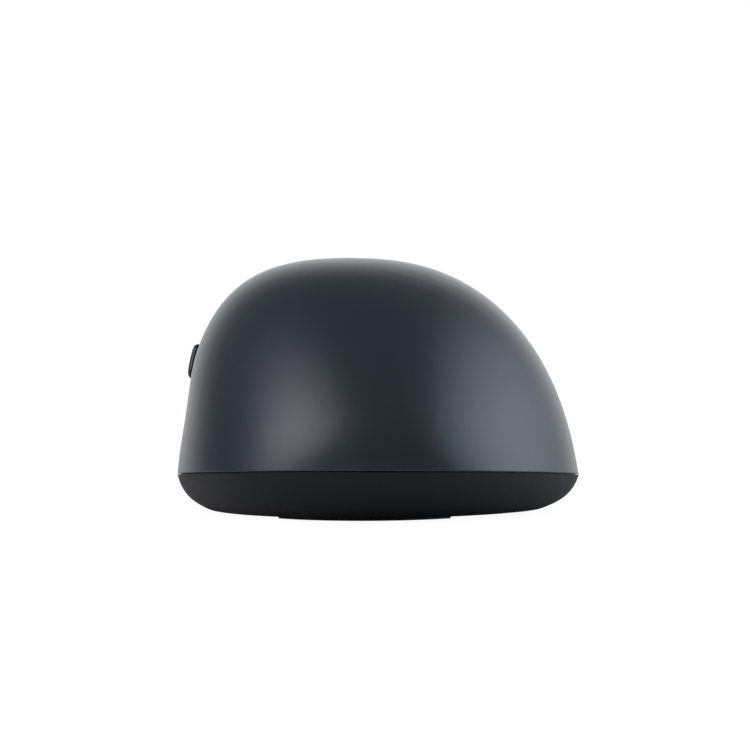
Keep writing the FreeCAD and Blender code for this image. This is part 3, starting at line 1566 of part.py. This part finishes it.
def make_battery():
    """A pouch cell with soft long edges, lying on a foam pad on the floor, and its two leads."""
    floor = S.base_bottom + S.base_floor
    inset = S.battery_pad_inset
    make_box("battery_pad", inset - S.battery_width / 2, BATTERY_Y - S.battery_length / 2 + inset, floor,
             S.battery_width - inset * 2, S.battery_length - inset * 2, S.battery_pad)
    body = make_chip("battery", 0, BATTERY_Y, S.battery_width, S.battery_length, S.battery_height,
                     base=floor + S.battery_pad)
    round_edges(body, S.battery_corner, lambda edge: runs_along(edge, Vector(0, 1, 0)))
    connector_y = BOARD_REAR + S.battery_connector_inset
    make_chip("battery_connector", S.battery_connector_x, connector_y, S.battery_connector_width,
              S.battery_connector_depth, S.battery_connector_height, S.package_corner)
    start = float(BATTERY_Y + S.battery_length / 2)
    span = float(connector_y - S.battery_connector_depth / 2) - start
    leads = []
    for side in (-1, 1):
        lead_x = float(S.battery_connector_x + S.lead_spread * side)
        place_low = Vector(lead_x, start, float(BOARD_TOP + S.lead_height))
        leads.append(Part.makeCylinder(float(S.lead_diameter) / 2, span, place_low, Vector(0, 1, 0)))
    add_feature("battery_leads", Part.makeCompound(leads))


def make_side_electronics():
    """The upright board behind the thumb buttons, its bracket and the ribbon down to the main board."""
    make_box("side_board", S.side_board_x, S.side_board_rear, S.side_board_z,
             S.side_board_thickness, S.side_board_front - S.side_board_rear, S.side_board_height)
    body = new_body("side_bracket")
    left = S.side_board_x + S.side_board_thickness
    rear, front = S.side_board_rear + S.bracket_inset, S.side_board_front - S.bracket_inset
    low, top = BOARD_TOP, S.side_board_z + S.side_board_height - S.bracket_drop
    chamfer = S.bracket_chamfer
    wall = new_sketch(body, "YZ_Plane", left)
    draw_polygon(wall, [
        (rear, low), (front, low), (front, top - chamfer), (front - chamfer, top), (rear + chamfer, top),
        (rear, top - chamfer),
    ])
    pad(body, wall, S.bracket_thickness)
    foot = new_sketch(body, "XY_Plane", low)
    draw_rectangle(foot, left + S.bracket_foot / 2, (rear + front) / 2, S.bracket_foot, front - rear)
    pad(body, foot, S.bracket_thickness)
    pegs = new_sketch(body, "XY_Plane", low)
    for x, y in bracket_peg_places():
        draw_circle(pegs, x, y, S.bracket_peg_diameter)
    pad(body, pegs, S.board_thickness + S.bracket_peg_reach, flip=True)
    ribbon_y = (S.side_board_rear + S.side_board_front) / 2
    ribbon_x = S.side_board_x + (S.side_board_thickness - S.ribbon_thickness) / 2
    connector_x = left - S.plunger_play - S.ribbon_connector_width / 2
    connector_top = BOARD_TOP + S.ribbon_connector_height
    make_chip("ribbon_connector", connector_x, ribbon_y, S.ribbon_connector_width,
              S.ribbon_connector_length, S.ribbon_connector_height, S.package_corner)
    make_box("side_ribbon", ribbon_x, ribbon_y - S.ribbon_width / 2, connector_top,
             S.ribbon_thickness, S.ribbon_width, S.side_board_z - connector_top)


# Buttons on the spine and under the thumb

def make_dpi_button():
    """A long cap in the spine, with a flange under the shell and a stem down to its switch."""
    rear, front = float(S.dpi_y - S.dpi_length / 2), float(S.dpi_y + S.dpi_length / 2)
    x, rim = float(S.spine_x), float(S.dpi_rim)
    under_flange = float(S.hinge_z + S.dpi_under)
    cap = under_skin(-float(S.dpi_proud)).common(slot_prism(x, rear, front, S.dpi_width, under_flange, SKY))
    flange = slot_prism(x, rear - rim, front + rim, S.dpi_width + S.dpi_rim * 2, under_flange, SKY)
    flange = flange.common(under_skin(float(S.top_wall + S.dpi_gap)))
    bottom = float(BOARD_TOP + S.tact_height + S.tact_plunger_proud + S.contact_gap)
    stem = post(x, S.dpi_y, S.dpi_stem, bottom, under_flange + rim / 2)
    add_feature("dpi_button", cap.fuse([flange, stem]))


def make_status_light():
    """A clear rod from the lamp on the board up through the spine, flush with the skin."""
    make_chip("status_lamp", S.spine_x, S.light_y, S.lamp_width, S.lamp_depth, S.lamp_height)
    low = float(BOARD_TOP + S.lamp_height + S.lamp_gap)
    rod = post(S.spine_x, S.light_y, S.light_diameter, low, SKY)
    collar = post(S.spine_x, S.light_y, S.light_collar, float(S.hinge_z + S.dpi_under), SKY)
    add_feature("status_light", rod.common(OUTER).fuse(collar.common(INNER)))


def outer_rim(button):
    """The edges round the outer face of a side button."""
    face = min(button.Faces, key=lambda face: face.CenterOfMass.x)
    return face.Edges


def make_side_buttons():
    """Two thumb buttons that stand out of the wall, with flanges behind it and posts to the switches."""
    behind_wall = float(S.top_wall + S.side_inner_gap)
    proud = under_skin(-float(S.side_proud))
    behind = under_skin(behind_wall)
    inside = under_skin(behind_wall + float(S.side_flange_depth))
    far = float(S.body_length)
    tip = float(S.side_board_x - S.tact_height - S.tact_plunger_proud - S.contact_gap)
    for end in ("back", "forward"):
        button = proud.cut(inside).common(side_button_prism(end, 0))
        button = button.makeFillet(float(S.side_round), outer_rim(button))
        flange = behind.cut(inside).common(side_button_prism(end, float(S.side_flange)))
        split = float(S.side_split) / 2
        start = float(S.side_middle) + (-split - far if end == "back" else split)
        flange = flange.common(Part.makeBox(far, far, far, Vector(-far, start, 0)))
        y, z = side_switch_place(end)
        pusher = cross_rod(S.side_post_diameter, tip - far, far, y, z).common(behind)
        add_feature("side_button_" + end, button.fuse([flange, pusher]))


def make_all():
    make_top_shell()
    make_bottom_shell()
    make_main_button("left_button", -1)
    make_main_button("right_button", 1)
    make_button_bridge()
    make_hinge_pins()
    make_button_springs()
    make_dpi_button()
    make_status_light()
    make_side_buttons()
    make_scroll_tyre()
    make_scroll_hub()
    make_rod("scroll_axle", S.axle_diameter, S.carrier_inner + S.carrier_plate * 2, S.wheel_y, S.wheel_z)
    make_wheel_carrier()
    pin_span = (S.carrier_inner / 2 + S.carrier_plate + S.stand_gap + S.stand_width) * 2
    make_rod("carrier_pin", S.axle_diameter, pin_span, PIVOT_Y, S.pivot_z)
    make_main_board()
    make_switches()
    make_optical_sensor()
    make_sensor_lens()
    make_chip("processor_chip", S.processor_x, S.processor_y, S.processor_size, S.processor_size,
              S.processor_height, S.package_corner)
    make_chip("radio_shield", S.radio_x, S.radio_y, S.radio_width, S.radio_length,
              S.radio_height, S.switch_corner)
    make_usb_socket()
    make_encoder()
    make_power_switch()
    make_power_slider()
    make_battery()
    make_side_electronics()
    make_feet()
    make_screws()


def check_all():
    """Every object of the document has to be sound before anything is written."""
    DOC.recompute()
    for item in DOC.Objects:
        if "Invalid" in item.State or "Error" in item.State:
            raise RuntimeError(item.Label + " failed")
    for item in SUB_PARTS:
        if item.Shape.isNull() or not item.Shape.isValid() or not item.Shape.Solids:
            raise RuntimeError(item.Label + " has no sound solid")


make_all()
check_all()
os.makedirs("parts", exist_ok=True)
for sub_part in SUB_PARTS:
    sub_part.Shape.exportStep(f"parts/{sub_part.Label}.step")
    print(sub_part.Label, len(sub_part.Shape.Solids), round(sub_part.Shape.Volume, 1))
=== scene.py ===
import json
import math

import bpy
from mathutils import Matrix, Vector
from mathutils.bvhtree import BVHTree


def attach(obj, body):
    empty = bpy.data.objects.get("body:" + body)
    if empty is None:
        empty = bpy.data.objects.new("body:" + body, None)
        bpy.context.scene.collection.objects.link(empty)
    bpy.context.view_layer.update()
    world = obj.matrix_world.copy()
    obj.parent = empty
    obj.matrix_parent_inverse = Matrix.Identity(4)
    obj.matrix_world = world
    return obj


# Wireless gaming mouse, seen from behind at desk height. Everything is in metres, in the CAD frame:
# +X is the user's right, +Y is the front with the two main buttons, and the desk is the plane z = 0.

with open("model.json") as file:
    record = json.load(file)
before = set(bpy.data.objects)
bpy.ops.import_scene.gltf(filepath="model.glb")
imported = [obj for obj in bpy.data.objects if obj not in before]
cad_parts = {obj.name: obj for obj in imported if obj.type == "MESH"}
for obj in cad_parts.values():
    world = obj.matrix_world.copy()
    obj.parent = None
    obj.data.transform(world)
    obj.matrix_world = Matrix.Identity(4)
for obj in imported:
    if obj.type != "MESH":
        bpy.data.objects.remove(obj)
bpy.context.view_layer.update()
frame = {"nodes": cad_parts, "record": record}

MM = 0.001

# Sockets of a mix node that share their names, by their places
NUMBER_FROM = 2
NUMBER_TO = 3
COLOUR_FROM = 6
COLOUR_TO = 7
COLOUR_RESULT = 2


# Materials

# The values between which a noise pattern mostly lies
NOISE_LOW = 0.3
NOISE_HIGH = 0.7
EDGE_SAMPLES = 8


def new_material(name):
    """An empty material with one principled shader, and the object's own coordinates for its textures."""
    material = bpy.data.materials.new(name)
    material.use_nodes = True
    nodes = material.node_tree.nodes
    shader = nodes["Principled BSDF"]
    places = nodes.new("ShaderNodeTexCoord").outputs["Object"]
    return material, shader, places


def add_noise(material, places, size, detail=3.0, stretch=(1, 1, 1)):
    """A noise pattern whose features are about one size, in metres, stretched along the axes."""
    nodes, links = material.node_tree.nodes, material.node_tree.links
    mapping = nodes.new("ShaderNodeMapping")
    mapping.inputs["Scale"].default_value = [1 / s for s in stretch]
    links.new(places, mapping.inputs["Vector"])
    noise = nodes.new("ShaderNodeTexNoise")
    noise.inputs["Scale"].default_value = 1 / size
    noise.inputs["Detail"].default_value = detail
    links.new(mapping.outputs["Vector"], noise.inputs["Vector"])
    return noise.outputs["Fac"]


def add_mix(material, share, first, second):
    """A colour between two, by a share that changes over the surface."""
    nodes, links = material.node_tree.nodes, material.node_tree.links
    mix = nodes.new("ShaderNodeMix")
    mix.data_type = "RGBA"
    links.new(share, mix.inputs["Factor"])
    mix.inputs[COLOUR_FROM].default_value = (*first, 1)
    mix.inputs[COLOUR_TO].default_value = (*second, 1)
    return mix.outputs[COLOUR_RESULT]


def add_range(material, value, low, high):
    """A number that runs from low to high as a pattern's value does over its middle part."""
    nodes, links = material.node_tree.nodes, material.node_tree.links
    scale = nodes.new("ShaderNodeMapRange")
    scale.inputs["From Min"].default_value = NOISE_LOW
    scale.inputs["From Max"].default_value = NOISE_HIGH
    scale.inputs["To Min"].default_value = low
    scale.inputs["To Max"].default_value = high
    links.new(value, scale.inputs["Value"])
    return scale.outputs["Result"]


def add_relief(material, shader, height, depth, rounding):
    """Relief of a depth in metres, over edges that shade as if rounded to a radius."""
    nodes, links = material.node_tree.nodes, material.node_tree.links
    edges = nodes.new("ShaderNodeBevel")
    edges.samples = EDGE_SAMPLES
    edges.inputs["Radius"].default_value = rounding
    bump = nodes.new("ShaderNodeBump")
    bump.inputs["Distance"].default_value = depth
    links.new(edges.outputs["Normal"], bump.inputs["Normal"])
    links.new(height, bump.inputs["Height"])
    links.new(bump.outputs["Normal"], shader.inputs["Normal"])


def finish(name, colour, shade, roughness, grain=0.0004, depth=0.00001, patch=0.02,
           stretch=(1, 1, 1), rounding=0.00015, **sockets):
    """A moulded, painted or metal surface: two close colours in patches, a grain and uneven gloss.

    Sizes are in metres. The other values go straight to the shader's sockets.
    """
    material, shader, places = new_material(name)
    links = material.node_tree.links
    patches = add_noise(material, places, patch)
    links.new(add_mix(material, patches, colour, shade), shader.inputs["Base Color"])
    fine = add_noise(material, places, grain, 4.0, stretch)
    links.new(add_range(material, fine, roughness[0], roughness[1]), shader.inputs["Roughness"])
    add_relief(material, shader, fine, depth, rounding)
    for socket, value in sockets.items():
        shader.inputs[socket.replace("_", " ")].default_value = value
    return material


MATERIALS = {
    "shell": finish("satin_shell", (0.0125, 0.0190, 0.0275), (0.0140, 0.0206, 0.0295), (0.32, 0.37),
                    grain=0.00030, depth=0.000004, patch=0.03, rounding=0.00028, Specular_IOR_Level=0.50,
                    Sheen_Weight=0.60, Sheen_Roughness=0.21),
    "base": finish("matte_base", (0.0064, 0.0074, 0.0084), (0.0076, 0.0086, 0.0096), (0.50, 0.60),
                   grain=0.00035, depth=0.000012, patch=0.03, Specular_IOR_Level=0.22),
    "gloss_black": finish("gloss_black", (0.0040, 0.0042, 0.0050), (0.0050, 0.0052, 0.0060), (0.10, 0.16),
                          grain=0.0020, depth=0.000002, patch=0.01, Specular_IOR_Level=0.5),
    "tread": finish("tyre_rubber", (0.018, 0.018, 0.019), (0.024, 0.024, 0.026), (0.62, 0.75),
                    grain=0.0003, depth=0.00002, patch=0.004, Specular_IOR_Level=0.35),
    "inner_plastic": finish("inner_plastic", (0.055, 0.056, 0.060), (0.064, 0.065, 0.070), (0.42, 0.52),
                            grain=0.0006, depth=0.00001, Specular_IOR_Level=0.4),
    "steel": finish("steel", (0.50, 0.50, 0.51), (0.56, 0.56, 0.57), (0.25, 0.38),
                    grain=0.0004, depth=0.000004, stretch=(8, 1, 1), Metallic=1.0),
    "tin": finish("tinned_shell", (0.62, 0.62, 0.63), (0.70, 0.70, 0.70), (0.18, 0.30),
                  grain=0.0005, depth=0.000004, stretch=(1, 6, 1), Metallic=1.0),
    "board": finish("solder_mask", (0.010, 0.045, 0.022), (0.013, 0.055, 0.028), (0.28, 0.36),
                    grain=0.0008, depth=0.000005, patch=0.003, Specular_IOR_Level=0.5),
    "switch_case": finish("switch_case", (0.030, 0.030, 0.033), (0.036, 0.036, 0.040), (0.30, 0.40)),
    "plunger": finish("plunger", (0.72, 0.71, 0.67), (0.78, 0.77, 0.73), (0.25, 0.35)),
    "chip": finish("chip_package", (0.020, 0.020, 0.022), (0.026, 0.026, 0.028), (0.5, 0.62),
                   grain=0.0002),
    "ivory": finish("ivory_connector", (0.70, 0.67, 0.58), (0.76, 0.73, 0.64), (0.35, 0.45)),
    "lamp": finish("lamp_lens", (0.80, 0.78, 0.60), (0.86, 0.84, 0.68), (0.2, 0.3)),
    "lead": finish("lead_insulation", (0.40, 0.02, 0.02), (0.46, 0.03, 0.03), (0.4, 0.5)),
    "clear": finish("clear_plastic", (0.80, 0.83, 0.87), (0.85, 0.87, 0.90), (0.05, 0.12),
                    grain=0.002, depth=0.000002, Transmission_Weight=0.9, IOR=1.49),
    "foam": finish("pad_foam", (0.040, 0.040, 0.043), (0.060, 0.060, 0.064), (0.85, 0.95),
                   grain=0.0005, depth=0.0001),
    "foil": finish("pouch_foil", (0.58, 0.59, 0.61), (0.66, 0.67, 0.69), (0.25, 0.42),
                   grain=0.003, depth=0.00008, Metallic=1.0),
    "glide": finish("glide_foot", (0.060, 0.060, 0.063), (0.072, 0.072, 0.075), (0.30, 0.40),
                    grain=0.0005, depth=0.000006),
}

for part in frame["record"]["subparts"]:
    node = frame["nodes"][part["node"]]
    node.data.materials.clear()
    node.data.materials.append(MATERIALS[part["material_slot"]])


# Small fittings, whose sizes are in millimetres

def add_piece(name, corners, faces, material):
    """A piece fixed to the housing, from corners in millimetres."""
    mesh = bpy.data.meshes.new(name)
    mesh.from_pydata([Vector(corner) * MM for corner in corners], [], faces)
    mesh.materials.append(material)
    piece = bpy.data.objects.new(name, mesh)
    bpy.context.scene.collection.objects.link(piece)
    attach(piece, "housing")
    return piece


# Plug over the right rear screw, flush with the slanting base round its recess. Its heights are
# from the desk.

SCREW_X = 21.0
SCREW_Y = -36.0
RIM_RADIUS = 2.5
PLUG_RADIUS = 2.34
PLUG_BORE = 2.14
PLUG_FLOOR = 1.37
PLUG_WEB = 0.05
PLUG_TOP = 2.6
PLUG_SIDES = 64
PLUG_RINGS = (0.6, 1.2, 1.7, PLUG_BORE, PLUG_RADIUS)
PLUG_FLOOR_RING = 1.0
RAY_START = -5.0

base_mesh = frame["nodes"]["bottom_shell"].data
base_corners = [vertex.co for vertex in base_mesh.vertices]
base_faces = BVHTree.FromPolygons(base_corners, [face.vertices for face in base_mesh.polygons])


def base_height(place):
    """How high the base's outer face is at a place beside the screw."""
    below = Vector((SCREW_X + place.x, SCREW_Y + place.y, RAY_START)) * MM
    return base_faces.ray_cast(below, Vector((0, 0, 1)))[0].z / MM


def turned(radius, step):
    """A place on a circle round the screw."""
    angle = 2 * math.pi * step / PLUG_SIDES
    return Vector((radius * math.cos(angle), radius * math.sin(angle)))


rim = [turned(RIM_RADIUS, step) for step in range(PLUG_SIDES)]
lowest = min(base_height(place) for place in rim)
outward = sum(((base_height(place) - lowest) * place for place in rim), Vector((0, 0))).normalized()
along = Vector((-outward.y, outward.x))


def flush_height(place):
    """The base's outer face carried on over the recess, between the two rim points beside a place."""
    out = place.dot(outward)
    reach = math.sqrt(RIM_RADIUS ** 2 - out ** 2)
    first = base_height(outward * out - along * reach)
    second = base_height(outward * out + along * reach)
    share = (place.dot(along) / reach + 1) / 2
    return first + (second - first) * share


def make_plug():
    """A cup that closes the recess below the screw's head. Its rings with no height are flush."""
    rings = [(radius, None) for radius in PLUG_RINGS]
    rings += [(PLUG_RADIUS, PLUG_TOP), (PLUG_BORE, PLUG_TOP)]
    rings += [(PLUG_BORE, PLUG_FLOOR), (PLUG_FLOOR_RING, PLUG_FLOOR)]
    corners = []
    for radius, height in rings:
        for step in range(PLUG_SIDES):
            place = turned(radius, step)
            low = flush_height(place)
            if radius <= PLUG_BORE:
                low = min(low, PLUG_FLOOR - PLUG_WEB)
            corners.append((SCREW_X + place.x, SCREW_Y + place.y, low if height is None else height))
    under = len(corners)
    corners.append((SCREW_X, SCREW_Y, min(flush_height(Vector((0, 0))), PLUG_FLOOR - PLUG_WEB)))
    inside = len(corners)
    corners.append((SCREW_X, SCREW_Y, PLUG_FLOOR))
    faces = []
    last = (len(rings) - 1) * PLUG_SIDES
    for step in range(PLUG_SIDES):
        after = (step + 1) % PLUG_SIDES
        faces.append((under, after, step))
        faces.append((inside, last + step, last + after))
        for start in range(0, last, PLUG_SIDES):
            end = start + PLUG_SIDES
            faces.append((start + step, start + after, end + after, end + step))
    return add_piece("screw_plug", corners, faces, MATERIALS["base"])


make_plug()


# Contacts on both sides of the charging socket's tongue

CONTACTS = 12
CONTACT_PITCH = 0.5
CONTACT_WIDTH = 0.25
CONTACT_LIFT = 0.05
CONTACT_BACK = 53.4
CONTACT_BEND = 58.0
CONTACT_FRONT = 58.35
TONGUE_MIDDLE = 6.5
TONGUE_HALF = 0.35


def make_contacts():
    """A row of strips above and one below, whose front ends slope down to the tongue."""
    flat = ((CONTACT_BACK, 0.0), (CONTACT_FRONT, 0.0))
    raised = ((CONTACT_BEND, CONTACT_LIFT), (CONTACT_BACK, CONTACT_LIFT))
    profile = flat + raised
    corners = []
    faces = []
    for side in (-1, 1):
        for number in range(CONTACTS):
            middle = (number - (CONTACTS - 1) / 2) * CONTACT_PITCH
            start = len(corners)
            for x in (middle - CONTACT_WIDTH / 2, middle + CONTACT_WIDTH / 2):
                for y, lift in profile:
                    corners.append((x, y, TONGUE_MIDDLE + side * (TONGUE_HALF + lift)))
            count = len(profile)
            left = [start + corner for corner in range(count)]
            right = [start + count + corner for corner in range(count)]
            strip = [left, right[::-1]]
            for corner in range(count):
                after = (corner + 1) % count
                strip.append([left[after], left[corner], right[corner], right[after]])
            faces += [face if side < 0 else face[::-1] for face in strip]
    gold = finish("gold_plating", (0.86, 0.60, 0.26), (0.92, 0.66, 0.31), (0.20, 0.30), grain=0.0002,
                  depth=0.000002, patch=0.002, rounding=0.00003, Metallic=1.0)
    add_piece("socket_contacts", corners, faces, gold)


make_contacts()


# Camera: level with the rump of the mouse, two thirds of a metre behind it

PHOTO_SIDE = 750
SENSOR = 36.0
FOCAL_PIXELS = 3782
HORIZON_ROW = 348
MIDDLE_COLUMN = 378

scene = bpy.context.scene
lens = bpy.data.cameras.new("camera")
camera = bpy.data.objects.new("camera", lens)
scene.collection.objects.link(camera)
scene.camera = camera
lens.sensor_width = SENSOR
lens.lens = FOCAL_PIXELS / PHOTO_SIDE * SENSOR
camera.location = (-0.0005, -0.664, 0.028)
pitch = math.atan((PHOTO_SIDE / 2 - HORIZON_ROW) / FOCAL_PIXELS)
yaw = math.atan((MIDDLE_COLUMN - PHOTO_SIDE / 2) / FOCAL_PIXELS)
camera.rotation_euler = (math.pi / 2 - pitch, 0, yaw)


# Studio: a white backdrop and desk, and soft lamps at both sides

LAMP_MIDDLE = 0.5


def soften(data):
    """Let a lamp fade from its middle to its edges, as a softbox does."""
    data.use_nodes = True
    nodes, links = data.node_tree.nodes, data.node_tree.links
    offset = nodes.new("ShaderNodeVectorMath")
    offset.operation = "SUBTRACT"
    offset.inputs[1].default_value = (LAMP_MIDDLE, LAMP_MIDDLE, 0)
    links.new(nodes.new("ShaderNodeNewGeometry").outputs["Parametric"], offset.inputs[0])
    distance = nodes.new("ShaderNodeVectorMath")
    distance.operation = "LENGTH"
    links.new(offset.outputs["Vector"], distance.inputs[0])
    fade = nodes.new("ShaderNodeMapRange")
    fade.interpolation_type = "SMOOTHSTEP"
    fade.inputs["From Max"].default_value = LAMP_MIDDLE
    fade.inputs["To Min"].default_value = 1.0
    fade.inputs["To Max"].default_value = 0.0
    links.new(distance.outputs["Value"], fade.inputs["Value"])
    links.new(fade.outputs["Result"], nodes["Emission"].inputs["Strength"])


def add_lamp(name, place, width, height, power, colour):
    """A soft rectangular lamp that faces the mouse."""
    data = bpy.data.lights.new(name, "AREA")
    soften(data)
    data.shape = "RECTANGLE"
    data.size = width
    data.size_y = height
    data.energy = power
    data.color = colour
    lamp = bpy.data.objects.new(name, data)
    scene.collection.objects.link(lamp)
    lamp.location = place
    lamp.rotation_euler = (LAMP_AIM - Vector(place)).to_track_quat("-Z", "Y").to_euler()


LAMP_AIM = Vector((0, -0.03, 0.02))
add_lamp("left_lamp", (-0.56, -0.25, 0.44), 0.96, 1.40, 16.5, (0.91, 0.89, 1.0))
add_lamp("right_lamp", (0.69, 0.19, 0.28), 1.35, 1.36, 16.0, (0.76, 0.87, 1.0))

# How bright the room looks: to a reflection, by how far it looks ahead to the backdrop, and
# to other rays, by how far they look up
AHEAD_START = 0.73
AHEAD_END = 0.95
ROOM_SHADE = 0.08
FLOOR_SHADE = 0.22
WHITE = 1.0

world = bpy.data.worlds.new("studio")
scene.world = world
world.use_nodes = True
sky = world.node_tree.nodes
sky_links = world.node_tree.links
ray = sky.new("ShaderNodeLightPath")
direction = sky.new("ShaderNodeTexCoord")
split = sky.new("ShaderNodeSeparateXYZ")
sky_links.new(direction.outputs["Generated"], split.inputs["Vector"])
fall = sky.new("ShaderNodeMapRange")
fall.interpolation_type = "SMOOTHSTEP"
fall.inputs["From Min"].default_value = AHEAD_START
fall.inputs["From Max"].default_value = AHEAD_END
fall.inputs["To Min"].default_value = ROOM_SHADE
fall.inputs["To Max"].default_value = WHITE
sky_links.new(split.outputs["Y"], fall.inputs["Value"])
overhead = sky.new("ShaderNodeMapRange")
overhead.inputs["To Min"].default_value = FLOOR_SHADE
overhead.inputs["To Max"].default_value = WHITE
sky_links.new(split.outputs["Z"], overhead.inputs["Value"])
glossy = sky.new("ShaderNodeMix")
sky_links.new(ray.outputs["Is Glossy Ray"], glossy.inputs["Factor"])
sky_links.new(overhead.outputs["Result"], glossy.inputs[NUMBER_FROM])
sky_links.new(fall.outputs["Result"], glossy.inputs[NUMBER_TO])
seen = sky.new("ShaderNodeMath")
seen.operation = "MAXIMUM"
sky_links.new(ray.outputs["Is Camera Ray"], seen.inputs[0])
sky_links.new(ray.outputs["Is Transmission Ray"], seen.inputs[1])
strength = sky.new("ShaderNodeMix")
strength.inputs[NUMBER_TO].default_value = WHITE
sky_links.new(seen.outputs["Value"], strength.inputs["Factor"])
sky_links.new(glossy.outputs["Result"], strength.inputs[NUMBER_FROM])
sky_links.new(strength.outputs["Result"], sky["Background"].inputs["Strength"])
sky["Background"].inputs["Color"].default_value = (1, 1, 1, 1)

# The desk: paper that takes shadows, with a glow that only the camera sees
FAR = 6.0
DESK_TOP = -0.00002
PAPER = (0.55, 0.55, 0.55, 1)
GLOW = 1.19
GLOW_SHARE = 0.80

desk_mesh = bpy.data.meshes.new("desk")
desk_corners = [(x, y, DESK_TOP) for x, y in ((-FAR, -FAR), (FAR, -FAR), (FAR, FAR), (-FAR, FAR))]
desk_mesh.from_pydata(desk_corners, [], [(0, 1, 2, 3)])
desk = bpy.data.objects.new("desk", desk_mesh)
scene.collection.objects.link(desk)
desk_finish = bpy.data.materials.new("desk")
desk_finish.use_nodes = True
tree = desk_finish.node_tree
tree.nodes.remove(tree.nodes["Principled BSDF"])
paper = tree.nodes.new("ShaderNodeBsdfDiffuse")
paper.inputs["Color"].default_value = PAPER
glow = tree.nodes.new("ShaderNodeEmission")
glow.inputs["Strength"].default_value = GLOW
blend = tree.nodes.new("ShaderNodeMixShader")
path = tree.nodes.new("ShaderNodeLightPath")
part_glow = tree.nodes.new("ShaderNodeMath")
part_glow.operation = "MULTIPLY"
part_glow.inputs[1].default_value = GLOW_SHARE
tree.links.new(path.outputs["Is Camera Ray"], part_glow.inputs[0])
tree.links.new(part_glow.outputs["Value"], blend.inputs["Fac"])
tree.links.new(paper.outputs["BSDF"], blend.inputs[1])
tree.links.new(glow.outputs["Emission"], blend.inputs[2])
tree.links.new(blend.outputs["Shader"], tree.nodes["Material Output"].inputs["Surface"])
desk_mesh.materials.append(desk_finish)

scene.view_settings.view_transform = "Standard"
